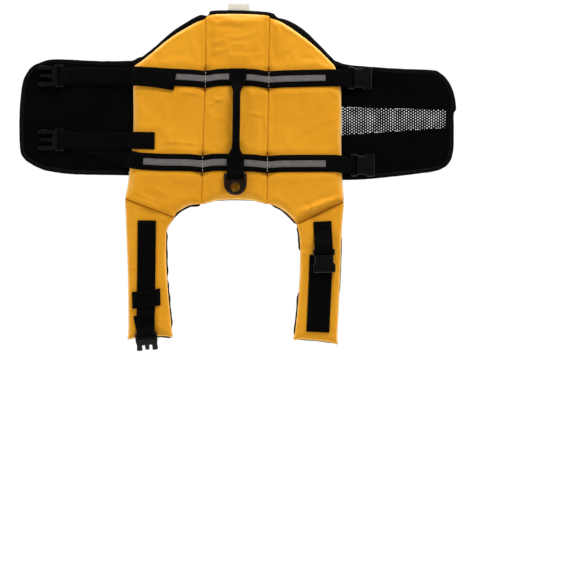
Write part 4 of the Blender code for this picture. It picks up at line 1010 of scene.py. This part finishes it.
# How far the tape keeps off the shell, the part it gives way where the shell draws in, and its ends and heights.
domeTape = {"gap": 1.4, "follow": 1.25, "reach": 1.3, "ends": (-152.0, 151.5), "places": 160, "corner": 2.5,
            "low": 1.3, "high": 5.0}


def showDomeBinding():
    edges = [joinedLine(line) for line in (domeLeft, domeCentre, domeRight)]
    edge = joinedLine(bindingDomeEdge)
    places = list(np.linspace(*domeTape["ends"], domeTape["places"]))
    for corner in (domeCentre[0][0], domeCentre[-1][0]):
        places = [x for x in places if abs(x - corner) > domeTape["corner"]]
        places += [corner + away for away in (-2.2, -1.2, 1.2, 2.2)]
    outer, inner = [], []
    limit = min(domeLeft[0][1], domeRight[-1][1])
    for x in sorted(places):
        reach = [acrossLine(line, x + away * domeTape["reach"], 0) for line in edges for away in (-1, 0, 1)
                 if line[0][0] <= x + away * domeTape["reach"] <= line[-1][0]]
        outer.append((x, acrossLine(edge, x, 0)))
        drawn = domeTape["follow"] * np.interp(x, *np.transpose(domeDraw))
        inner.append((x, min(reach, default=limit) - domeTape["gap"] - drawn))
    showRoundedBand("dome_binding_tape", outer, inner, domeTape["low"], domeTape["high"], bindingCloth, "binding_tape",
                    ["binding_dome"], 0.7)


showDomeBinding()
showHinges()
print("dome bound")


# Edges of the flap bindings, from the tail side round to the neck side, and the sides of the net wedge.
flapLeftEdge = [(-147.0, 169.2), (-187, 168.6), (-213, 169.2), (-265, 171.3), (-286, 166.5), (-300, 158.5),
                (-311, 139), (-315.4, 104), (-316.4, 70), (-314.9, 39), (-311, 29), (-303, 21.5), (-280, 10.2),
                (-242, 4.4), (-184, 2.9), (-157, 2.6)]
flapRightEdge = [(143.0, 167.2), (164, 163.0), (193, 160.5), (236, 157.6), (284, 155.6), (296, 150.5), (306, 141),
                 (314, 125), (317.6, 108), (317.8, 97.5), (314.9, 92), (314.9, 70), (314.0, 39), (308.0, 20.5),
                 (292, 9.9), (265, 5.2), (220, 0), (181, -3.6), (149.5, -4.2)]
netRearLine = [(152, 102), (309, 97.6)]
netFrontLine = [(152, 61), (200, 63), (260, 69.5), (309, 72.2)]
flaps = {"thick": 2.6, "bindWidth": 6.5, "bindThick": 3.0, "tuck": 1.2, "waves": 0.28, "rings": 22, "step": 3.2,
         "corner": 35.0, "round": 3.0, "waveEase": 12.0, "waveSizes": (38.0, 13.0, 24.0)}


def showFlapBinding(name, edge, inward):
    outer = evenPoints(edge, 2.6)
    inner = offsetLine(outer, inward * flaps["bindWidth"])
    showRoundedBand(name + "_tape", outer, inner, 0.0, flaps["bindThick"], bindingCloth, "binding_tape", [name],
                    0.62, 16, 0.5, 4.0)
    return outer


# the outline of a flap's cloth: tucked into its binding, and closed along the side of the back
def panelOutline(edge, inward, side, shift):
    panel = offsetLine(evenPoints(edge, 9.0), inward * (flaps["bindWidth"] - flaps["tuck"]))
    closing = [(acrossLine(side, y, 1) + shift, y) for y in np.linspace(panel[-1][1], panel[0][1], 13)]
    reach = max(abs(x) for x, y in closing) + 0.5
    return np.array([p for p in panel if abs(p[0]) > reach] + closing)


def cutOutline(outline, line, keep, gap):
    depth = [keep * (y - acrossLine(line, x, 0)) - gap for x, y in outline]
    result = []
    for near, far, d0, d1 in zip(outline, np.roll(outline, -1, axis=0), depth, depth[1:] + depth[:1]):
        if d0 > 0:
            result.append(near)
        if d0 * d1 < 0:
            result.append(near + (far - near) * d0 / (d0 - d1))
    return np.array(result)


# evenly spaced points round an outline, with one on each of its corners
def resampleLoop(outline, step):
    ring = closed(outline)
    length = runOf(ring)
    count = max(12, round(length[-1] / step))
    targets = np.arange(count) * length[-1] / count
    before, after = outline - np.roll(outline, 1, axis=0), np.roll(outline, -1, axis=0) - outline
    turn = np.arctan2(before[:, 0] * after[:, 1] - before[:, 1] * after[:, 0], (before * after).sum(axis=1))
    for i in np.flatnonzero(np.abs(np.degrees(turn)) > flaps["corner"]):
        targets[np.argmin(np.abs(targets - length[i]))] = length[i]
    return np.column_stack([np.interp(targets, length, column) for column in ring.T])


# A thin cloth panel inside an outline: rings of points from its edge to its middle, above and below.
def showPanel(name, outline, low, high, finish, node, edge=0.5, waves=flaps["waves"], *, seed):
    ring = resampleLoop(outline, flaps["step"])
    lengths = np.linalg.norm(np.roll(ring, -1, axis=0) - ring, axis=1)
    centre = (ring * lengths[:, None]).sum(axis=0) / lengths.sum()
    shares = [1.0, 0.992, 0.978, 0.95, *np.linspace(0.9, 0.05, flaps["rings"])]
    top, bottom = [], []
    for share in shares:
        x, y = (centre + (ring - centre) * share).T
        depth = edgeDistance(ring, x, y) if share < 1 else np.zeros(len(x))
        t = 1 - np.minimum(depth / flaps["round"], 1)
        drop, inner = edge * (1 - np.sqrt(1 - t * t)), easeIn(depth / flaps["waveEase"])
        broad, fine, under = (ripple(x, y, size, seed + k) for size, k in zip(flaps["waveSizes"], (0, 2, 4)))
        top.append(np.column_stack([x, y, high - drop + waves * (broad + 0.4 * fine) * inner]))
        bottom.append(np.column_stack([x, y, low + drop + np.maximum(0, 0.5 * waves * under) * inner]))
    n, below = len(ring), len(ring) * len(shares)
    faces = []
    for start in (0, below):
        *walls, rim, middle = tubeFaces(len(shares), n, start)
        faces += [face[::-1] if start else face for face in [*walls, middle]]
    faces += [((k + 1) % n, k, below + k, below + (k + 1) % n) for k in range(n)]
    return showPiece(name, np.vstack(top + bottom), faces, finish, replaces=[node], sharp=60)


# The net: columns of holes, each column half a hole along from the next. Its folds: place, rise.
net = {"column": 3.3, "pitch": 3.95, "holeAcross": 0.68, "holeAlong": 0.81, "uneven": 0.44, "thick": 0.5, "high": 1.9,
       "wave": 0.35, "dip": 0.12, "foldHalf": 1.6, "weld": 0.12, "margin": 0.3, "end": 304.6}
netFolds = [(186, 0.7), (213, -0.5), (241, 0.8), (262, 0.6), (281, -0.5), (297, 0.7)]


def netHeight(x, y):
    folds = sum(math.exp(-((x - fold) / net["foldHalf"]) ** 2) * rise for fold, rise in netFolds)
    wave = net["wave"] * noise.noise(Vector((x / 16, y / 16, 3.0)))
    return net["high"] + wave + folds * (0.6 + 0.4 * math.sin(y / 5))


def weldNet(bm):
    bmesh.ops.remove_doubles(bm, verts=bm.verts[:], dist=net["weld"] * mm)
    turnOut(bm)
    if sum(f.normal.z for f in bm.faces) < 0:
        bmesh.ops.reverse_faces(bm, faces=bm.faces[:])


def showNet(outline):
    px, py = net["column"], net["pitch"]
    verts, faces = [], []
    low, high = outline.min(axis=0), outline.max(axis=0)
    rows, columns = int((high[1] - low[1]) / py) + 2, int((net["end"] - low[0]) / px) + 2
    # round the rim of one cell, from a corner
    rim = [(-0.5, -0.5), (0, -0.5), (0.5, -0.5), (0.5, -0.25), (0.5, 0), (0.5, 0.25), (0.5, 0.5), (0, 0.5), (-0.5, 0.5),
           (-0.5, 0.25), (-0.5, 0), (-0.5, -0.25)]
    turns = [math.atan2(b, a) for a, b in rim]
    for i in range(columns):
        for j in range(rows):
            x, y = low[0] + i * px, low[1] + (j + 0.5 * (i % 2)) * py
            if edgeDistance(outline, [x], [y])[0] < net["margin"] or x > net["end"]:
                continue
            opened = 1 + net["uneven"] * noise.noise(Vector((x / 11, y / 19, 6.0)))
            spots = [(x + a * px, y + b * py, 0) for a, b in rim]
            spots += [(x + math.cos(turn) * net["holeAcross"] * opened, y + math.sin(turn) * net["holeAlong"] * opened,
                       net["dip"]) for turn in turns]
            faces += tubeFaces(2, len(rim), len(verts))[:-2]
            verts += [(a, b, netHeight(a, b) - dip) for a, b, dip in spots]
    piece = showPiece("net_wedge", verts, faces, netYarn, replaces=["flap_mesh"])
    reshape(piece.data, weldNet)
    wall = piece.modifiers.new("yarn", "SOLIDIFY")
    wall.thickness, wall.offset = net["thick"] * mm, -1.0


def showFlaps():
    outers = [showFlapBinding("binding_flap_left", flapLeftEdge, -1),
              showFlapBinding("binding_flap_right", flapRightEdge, 1)]
    left = panelOutline(flapLeftEdge, -1, joinedLine(sideLeft), 0.4)
    right = panelOutline(flapRightEdge, 1, joinedLine(sideRight), -0.4)
    rear, front = joinedLine(netRearLine), joinedLine(netFrontLine)
    for name, outline, seed in (("left", left, 5.0), ("right_rear", cutOutline(right, rear, 1, 0.0), 15.0),
                                ("right_front", cutOutline(right, front, -1, 0.0), 25.0)):
        piece = showPanel("velour_" + name, outline, 0.0, flaps["thick"], velour, "flap_" + name,
                          seed=seed)
    showNet(cutOutline(cutOutline(right, rear, -1, -1.5), front, 1, -1.5))
    end = net["end"]
    hem = np.array([(end - 0.8, 99.0), (end + 6.8, 99.0), (end + 6.8, 69.2), (end - 3.0, 69.6)])
    showPanel("net_hem", hem, 0.4, 2.7, bindingCloth, "flap_mesh", waves=0.15, seed=51.0)
    return outers


flapEdges = showFlaps()
print("flaps and net laid")


def showBellyStraps():
    base = pads["flapThick"] + pads["layGap"]
    maleZ, femaleZ = base + webbing["thick"] / 2 + webbing["turn"], base + webbing["femaleThick"] / 2
    laidOnes = {}
    for name, tail, line, male, female in (("rear", rearTail, rearLine, maleRear, femaleRear),
                                           ("front", frontTail, frontLine, maleFront, femaleFront)):
        laid = laidRoute(line, step=5.0)
        near = female[0] - webbing["span"]
        route = laidRoute(tail) + turnRoute((*male, maleZ), 180) + laid
        route += [(near, female[1], femaleZ + webbing["turn"] + webbing["above"]), *turnRoute((*female, femaleZ), 0),
                  (near, female[1], femaleZ - webbing["turn"])]
        showWeb("web_" + name, route, "strap_" + name, seed=len(name))
        laidOnes[name] = laid, routeSides(laid)
    return laidOnes


# a route moved out from the upper side of another, along its own slope
def raisedRoute(route, distance):
    steps = [Vector((b[0] - a[0], b[2] - a[2])).normalized() for a, b in zip(route, route[1:])]
    raised = []
    for (x, y, z), before, after in zip(route, steps[:1] + steps, steps + steps[-1:]):
        middle = (before + after).normalized()
        reach = distance / middle.dot(after)
        raised.append((x - middle.y * reach, y, z + middle.x * reach))
    return raised


# The reflective tapes: their thickness, how far their middle is over the strap's, and their width.
tapes = {"thick": 0.4, "over": 1.12, "rear": 8.5, "front": 9.2}


def showTapes(laidOnes):
    routes = {}
    for name, start, end, aside in tapeStretches:
        strap = "rear" if "rear" in name else "front"
        rows = sorted((*point, side.x, side.y) for point, side in zip(*laidOnes[strap]))
        xs = [start] + [row[0] for row in rows if start + 0.8 < row[0] < end - 0.8] + [end]
        rows = [[np.interp(x, *np.transpose(rows)[[0, k]]) for k in range(5)] for x in xs]
        over = raisedRoute([row[:3] for row in rows], tapes["over"])
        sides = [Vector(row[3:]).normalized() for row in rows]
        middle = [(x + s.x * aside, y + s.y * aside, z) for (x, y, z), s in zip(over, sides)]
        showBand(name + "_strip", middle, tapes[strap], tapes["thick"], silverTape, "reflective_tape", [name],
                 sides=sides, waver=0.05)
        routes[name] = middle, sides
    return routes


def showNeckPieces():
    left = laidRoute(neckLeftLine, step=4.0) + turnRoute(neckLeftBar, -85.0) + laidRows(neckLeftReturn)
    showWeb("web_neck_left", left, "neck_web_left", 26.6, seed=7.0)
    showWeb("keeper_band", laidRows(keeperRows), "keeper", 24.5, sides=[Vector((-0.03, 1.0))] * len(keeperRows),
            seed=8.0)
    right = laidRoute(neckRightLine) + neckRightRise + turnRoute(neckRightBar, -88.0) + neckRightReturn
    showWeb("web_neck_right", right, "neck_web_right", 26.4, seed=9.0)
    strip = laidRoute(hookStripLine, 33.6, 9.0)
    piece = showBand("hook_tape", strip, 33.6, 1.5, hookPile, "hook_and_loop", ["hook_strip"], seed=11.0)
    loop = np.array([(-151.5, -219.0), (-119.6, -219.0), (-119.6, -105.9), (-151.5, -105.9)])
    piece = showPanel("loop_tape", loop, 0.0, 1.3, loopPile, "loop_strip", 0.4, 0.1, seed=31.0)
    return strip


laidOnes = showBellyStraps()
tapeRoutes = showTapes(laidOnes)
hookRoute = showNeckPieces()
print("webbing laid")


# The handle: webbing folded to a grip between two tabs, turned round the bar of the lead ring at its end.
# Columns: x, y, height, width, thickness.
handleRows = [(1.3, 157.0, 15.6, 24.5, 1.6), (1.3, 137.0, 15.7, 24.5, 1.6), (0.6, 130.5, 17.0, 17.0, 3.4),
              (0.0, 124.0, 19.5, 11.5, 5.6), (-0.4, 110.0, 22.6, 11.0, 6.0), (-0.5, 95.0, 24.0, 11.0, 6.0),
              (-0.7, 80.0, 24.0, 11.0, 6.0), (-1.0, 62.0, 22.8, 11.0, 6.0), (-1.3, 48.0, 20.8, 11.2, 5.6),
              (-1.6, 40.0, 19.2, 13.0, 4.4), (-2.0, 33.5, 18.0, 20.0, 2.6), (-2.2, 28.0, 17.7, 24.6, 1.5),
              (-2.2, 12.0, 17.7, 25.0, 1.4), (-2.2, 6.5, 19.0, 25.0, 1.4)]
handleReturn = [(-2.2, 7.4, 15.6, 25.0, 1.4), (-2.2, 27.0, 15.6, 25.0, 1.4)]
ringBar = (-2.2, 2.3, 16.9)


def showHandle():
    turn = [(*point, webbing["width"], webbing["thick"]) for point in turnRoute(ringBar, -90.0, 1.8)]
    fine = finePoints(handleRows + turn + handleReturn, 1.6)
    ahead = unitRows(np.gradient(fine[:, 1:3], axis=0))
    verts, uvs = [], []
    for (x, y, z, width, thick), (along, rise), run in zip(fine, ahead, runOf(fine[:, :3])):
        # where it is folded its section is nearly round
        folded = 0.45 * easeIn((thick - 2.0) / 3.0)
        for across, up in bandSection:
            bulge = math.copysign(math.sqrt(max(0.0, 1 - across ** 2)) if up else 0.0, up)
            lift = (up * (1 - folded) + bulge * folded) * thick / 2
            verts.append((x + across * width / 2, y - rise * lift, z + along * lift))
            uvs.append(((webbing["width"] + across * width / 2) * mm, run * mm))
    showPiece("handle_web", verts, tubeFaces(len(fine), len(bandSection)), webbingCloth,
              replaces=["handle"], uvs=uvs, sharp=60)
    return fine


handleLine = showHandle()


# Moulded parts: the frame's own shapes with their edges rounded.
moulded = {"edge": 0.75, "segments": 3, "angle": 28.0, "sharp": 50.0, "weld": 0.005, "flat": 1.5}
# A longer base and thicker prongs for a male buckle: places along it and across it, before and after.
stout = {"from": 8.5, "prongs": 11.0, "along": ([8.5, 12, 12.6, 23.7], [8.5, 14.6, 15.2, 23.7]),
         "across": ([0, 1.9, 2.4, 8, 9.2, 13.2, 15.2], [0, 3.0, 3.3, 6.6, 7.3, 14.7, 15.4])}


def stoutPoint(point, place):
    x, y, z = place.inverted() @ point
    if x > stout["from"] * mm:
        x = np.interp(x, *np.multiply(stout["along"], mm))
    if x > stout["prongs"] * mm:
        y = math.copysign(np.interp(abs(y) / mm, *stout["across"]) * mm, y)
    return place @ Vector((x, y, z))


def showMoulded(node, name, finish=blackPlastic, body="jacket", place=None):
    def change(bm):
        bmesh.ops.transform(bm, matrix=frame["nodes"][node].matrix_world, verts=bm.verts[:])
        bmesh.ops.remove_doubles(bm, verts=bm.verts[:], dist=moulded["weld"] * mm)
        for v in bm.verts:
            v.co = stoutPoint(v.co, place) if place else v.co
        bmesh.ops.dissolve_limit(bm, angle_limit=math.radians(moulded["flat"]), verts=bm.verts[:], edges=bm.edges[:])

    mesh = bpy.data.meshes.new(name)
    reshape(mesh, change, frame["nodes"][node].data)
    piece = showMesh(name, mesh, finish, body, [node])
    rounding = piece.modifiers.new("rounding", "BEVEL")
    rounding.width, rounding.segments = moulded["edge"] * mm, moulded["segments"]
    rounding.limit_method, rounding.angle_limit = "ANGLE", math.radians(moulded["angle"])
    rounding.use_clamp_overlap = True
    mesh.set_sharp_from_angle(angle=math.radians(moulded["sharp"]))


neckPlace = (Matrix.Translation(Vector(neckLeftBar) * mm) @ Matrix.Rotation(math.radians(-85), 4, "Z")
             @ Matrix.Rotation(math.radians(23), 4, "Y"))
for side in ("rear", "front", "neck"):
    showMoulded("buckle_male_" + side, "male_" + side, place=neckPlace if side == "neck" else None)
    showMoulded("buckle_female_" + side, "female_" + side)
showMoulded("lead_ring", "ring_body", ringPlastic, "ring")


# The lead ring's raised rim, and the lip round its hole, which the ring's thickness runs through.
def showRingEdges():
    rim = {"half": 16.6, "top": 2.2, "straight": 13.0, "centre": -12.4, "wide": 2.9, "hole": 6.5, "lip": 1.9,
           "holeCentre": -17.4, "high": 3.2, "low": -2.85}
    x0, y0, z0 = ringBar
    half, wall = rim["half"], rim["top"] - np.linspace(0, rim["straight"], 9)
    edge = [(-half, y) for y in wall]
    edge += [(half * math.cos(a), rim["centre"] + half * math.sin(a)) for a in np.linspace(math.pi, 2 * math.pi, 49)]
    edge = np.array(edge + [(half, y) for y in wall[::-1]])
    turn = np.linspace(0, 2 * math.pi, 61)
    circle, hole = np.column_stack([np.cos(turn), np.sin(turn)]), rim["hole"]
    for name, outer, inner, y, top in (
            ("ring_rim", edge, offsetLine(edge, -rim["wide"]), y0, rim["high"]),
            ("ring_lip", circle * (hole + rim["lip"]), circle * hole, y0 + rim["holeCentre"], rim["high"] - 0.1)):
        showRoundedBand(name, outer + (x0, y), inner + (x0, y), z0 + rim["low"], z0 + top, ringPlastic,
                        "buckle_plastic", ["lead_ring"], 0.55, 16, 0.0, 3.0, "ring")


showRingEdges()
print("moulded parts rounded")


def showLabel():
    outline = np.array([(-13.0, 236.9), (18.1, 236.9), (18.1, 252.3), (-13.0, 252.3)])
    piece = showPanel("label_tab", outline, 0.0, 1.0, paleCloth, "label", 0.4, 0.12, seed=41.0)


showLabel()


# Sewing threads, laid as short rounded stitches along a seam. Points are x, y, z in millimetres.
stitchForm = [(-1.0, 0.30), (-0.72, 0.85), (0.0, 1.0), (0.72, 0.85), (1.0, 0.30)]
stitches = {"sides": 5, "sunk": 0.08}


def stitchSeam(verts, faces, line, length, gap, radius, rise):
    line = np.asarray(line, float)
    run = runOf(line)
    count = max(1, int((run[-1] + gap) / (length + gap)))
    pitch = run[-1] / count
    at = lambda t: np.array([np.interp(t, run, column) for column in line.T])
    turns = [2 * math.pi * k / stitches["sides"] for k in range(stitches["sides"])]
    for i in range(count):
        a, b = at((i + 0.5) * pitch - length / 2), at((i + 0.5) * pitch + length / 2)
        ahead = (b - a) / max(np.linalg.norm(b - a), 1e-6)
        side = np.cross(ahead, (0, 0, 1.0))
        side /= max(np.linalg.norm(side), 1e-6)
        up = np.cross(side, ahead)
        faces += tubeFaces(len(stitchForm), stitches["sides"], len(verts))
        for t, swell in stitchForm:
            middle = (a + b) / 2 + (b - a) / 2 * t + up * (rise * (1 - t * t) - stitches["sunk"])
            verts += [middle + (side * math.cos(turn) + up * math.sin(turn)) * radius * swell for turn in turns]


def showStitches(name, seams, finish, length, gap, radius, rise=0.2):
    verts, faces = [], []
    for line in seams:
        stitchSeam(verts, faces, line, length, gap, radius, rise)
    showPiece(name, verts, faces, finish)


# the top surface of what has been shown so far, for thread that lies on it
def topOf(*names):
    graph = bpy.context.evaluated_depsgraph_get()
    trees = [BVHTree.FromObject(bpy.data.objects[n], graph) for n in names]

    def height(x, y):
        hits = [t.ray_cast(Vector((x * mm, y * mm, 0.1)), Vector((0, 0, -1)))[0] for t in trees]
        return max([h.z / mm for h in hits if h] or [0.0])
    return height


def laidOn(top, points, lift=0.0):
    return [(x, y, top(x, y) + lift) for x, y in points]


def showAllStitches():
    bpy.context.view_layer.update()
    # bindings: one line just inside the inner edge
    top = topOf("binding_flap_left_tape", "binding_flap_right_tape", "dome_binding_tape")
    seams = [laidOn(top, offsetLine(outer, inward * (flaps["bindWidth"] - 1.5)), -0.05)
             for outer, inward in zip(flapEdges, (-1, 1))]
    showStitches("binding_stitches", seams, blackThread, 2.4, 1.1, 0.24)
    # belly straps: thread across at each channel
    seams, half = [], 11.9
    for name, middle, xs in (("rear", 141.2, (-45.6, 46.3)), ("front", 18.6, (-49.9, 44.2))):
        top = topOf("web_" + name, *(tape + "_strip" for tape, *rest in tapeStretches if name in tape))
        ys = np.linspace(middle - half, middle + half, 9)
        seams += [[(x + 0.012 * (y - middle), y, top(x, y) + 0.02) for y in ys] for x in xs]
    showStitches("channel_stitches", seams, greyThread, 3.0, 1.2, 0.42, 0.3)
    # hinges of the lining: two lines each, on the underside
    seams = []
    for line in (channelLeft, channelRight):
        middle = np.array([p for p in joinedLine(line, count=24) if -36 < p[1] < 228])
        seams += [[(x, y, 2.25) for x, y in offsetLine(middle, aside)] for aside in (-1.6, 1.6)]
    showStitches("hinge_stitches", seams, dimThread, 2.6, 1.4, 0.3, -0.3)
    # tapes: a line along each long side
    seams = []
    for route, sides in tapeRoutes.values():
        middle, side, up, _ = bandStations(route, 2.0, sides)
        seams += [middle + side * aside + up * 0.2 for aside in (-3.6, 3.6)]
    showStitches("tape_stitches", seams, blackThread, 2.2, 0.9, 0.2, 0.15)
    # handle: boxes on its two tabs, and a line along each side of the grip
    top, seams = topOf("handle_web"), []
    for x0, x1, y0, y1 in ((-9.2, 11.4, 138.5, 155.6), (-12.6, 8.2, 12.5, 30.5)):
        box = [(x0, y0), (x1, y0), (x1, y1), (x0, y1), (x0, y0)]
        seams += [laidOn(top, np.linspace(a, b, 8)) for a, b in zip(box, box[1:])]
    grip = handleLine[(handleLine[:, 1] > 48) & (handleLine[:, 1] < 124), :2][::3]
    seams += [laidOn(top, grip + (aside, 0)) for aside in (-3.9, 3.9)]
    showStitches("handle_stitches", seams, blackThread, 2.3, 1.0, 0.25)
    # neck webbing: a box on each end, and a line across each end of the keeper
    top, seams = topOf("web_neck_left", "web_neck_right", "keeper_band", "hook_tape"), []
    for x, y in ((-130.5, -66), (123.8, -68.6)):
        left, right, far = x - 10.5, x + 10.5, y - 9.5
        seams += [laidOn(top, np.linspace((left, at), (right, at), 8)) for at in (y, far)]
        seams += [laidOn(top, np.linspace((at, y), (at, far), 4)) for at in (left, right)]
    seams += [laidOn(top, np.linspace((x, -190), (x, -169), 8)) for x in (-149.0, -113.0)]
    showStitches("neck_stitches", seams, blackThread, 2.2, 1.0, 0.25)
    # hook tape: round its edge
    line, half = np.array(hookRoute)[:, :2], 14.8
    seams = [laidOn(top, offsetLine(line, aside)) for aside in (-half, half)]
    seams += [laidOn(top, np.linspace((x - half, y), (x + half, y), 10))
              for x, y in (line[0] - (0, 1.6), line[-1] + (0, 1.6))]
    showStitches("hook_stitches", seams, blackThread, 2.2, 1.0, 0.22)


showAllStitches()
print("stitched")


# The floor in metres: half its side, its height, and the length of a ray that starts at what lies on it.
stage = {"half": 6.0, "height": -0.0004, "contact": 0.006, "shade": 0.60, "glow": 1.3, "seen": 1.03}


def addStage():
    floor, half = bpy.data.meshes.new("floor"), stage["half"]
    floor.from_pydata([(x * half, y * half, stage["height"]) for x, y in ((-1, -1), (1, -1), (1, 1), (-1, 1))], [],
                      [(0, 1, 2, 3)])
    piece = addObject("floor", floor)
    finish, tree, shader = newFinish("paleFloor", (stage["shade"],) * 3, 0.9, 0.0, Emission_Color=(1.0, 1.0, 1.0, 1.0),
                                     Emission_Strength=stage["glow"])
    # from below, and for light that leaves what lies on it, the floor is clear
    near = sums(tree, "LESS_THAN", addNode(tree, "ShaderNodeLightPath").outputs["Ray Length"], stage["contact"])
    below = addNode(tree, "ShaderNodeNewGeometry").outputs["Backfacing"]
    mixed = addNode(tree, "ShaderNodeMixShader", {0: sums(tree, "MAXIMUM", near, below), 1: shader.outputs[0],
                                                  2: addNode(tree, "ShaderNodeBsdfTransparent").outputs[0]})
    # seen by the camera it is plain white
    path = addNode(tree, "ShaderNodeLightPath").outputs["Is Camera Ray"]
    white = addNode(tree, "ShaderNodeEmission", {"Strength": stage["seen"]})
    seen = addNode(tree, "ShaderNodeMixShader", {0: sums(tree, "MULTIPLY", path, sums(tree, "SUBTRACT", 1.0, below)),
                                                 1: mixed.outputs[0], 2: white.outputs[0]})
    feed(tree, tree.nodes["Material Output"].inputs["Surface"], seen.outputs[0])
    floor.materials.append(finish)


# The room's brightness at the horizon and overhead, and how far up it falls off.
room = {"horizon": 1.28, "zenith": 0.30, "reach": 0.85}
# The lamps: name, place, size, power.
lamps = [("lampMain", (0.7, 1.6, 0.85), 0.9, 34.0), ("lampLeft", (-1.5, 0.2, 0.9), 0.8, 8.0),
         ("lampFront", (0.1, -1.8, 0.8), 0.8, 9.0), ("lampUnder", (-1.1, 0.6, -0.8), 0.7, 20.0)]


# A pale room, brighter low down all round, and four soft lamps.
def addLights():
    world = bpy.data.worlds.new("studio")
    bpy.context.scene.world = world
    world.use_nodes = True
    tree = world.node_tree
    split = addNode(tree, "ShaderNodeSeparateXYZ", {0: placeOf(tree, "Generated")})
    share = addNode(tree, "ShaderNodeMapRange", {"From Max": room["reach"], "To Min": room["horizon"],
                                                 "To Max": room["zenith"],
                                                 "Value": sums(tree, "ABSOLUTE", split.outputs["Z"])},
                    interpolation_type="SMOOTHSTEP")
    feed(tree, tree.nodes["Background"].inputs["Strength"], share.outputs["Result"])
    feed(tree, tree.nodes["Background"].inputs["Color"], (1.0, 1.0, 1.0, 1.0))
    for name, place, size, power in lamps:
        lamp = bpy.data.lights.new(name, "AREA")
        lamp.shape, lamp.size, lamp.energy = "DISK", size, power
        holder = addObject(name, lamp)
        holder.location = place
        holder.rotation_euler = (-Vector(place)).to_track_quat("-Z", "Y").to_euler()


def addCamera():
    view = {"centre": (74.7, -161.7), "width": 836.65, "height": 4000.0, "level": 8.0, "sensor": 36.0}
    camera = bpy.data.cameras.new("camera")
    camera.sensor_width = view["sensor"]
    camera.lens = view["sensor"] * (view["height"] - view["level"]) / view["width"]
    camera.clip_end = 50.0
    holder = addObject("camera", camera)
    holder.location = Vector((*view["centre"], view["height"])) * mm
    bpy.context.scene.camera = holder


addStage()
addLights()
addCamera()
bpy.context.scene.view_settings.view_transform = "Standard"
print("stage set")
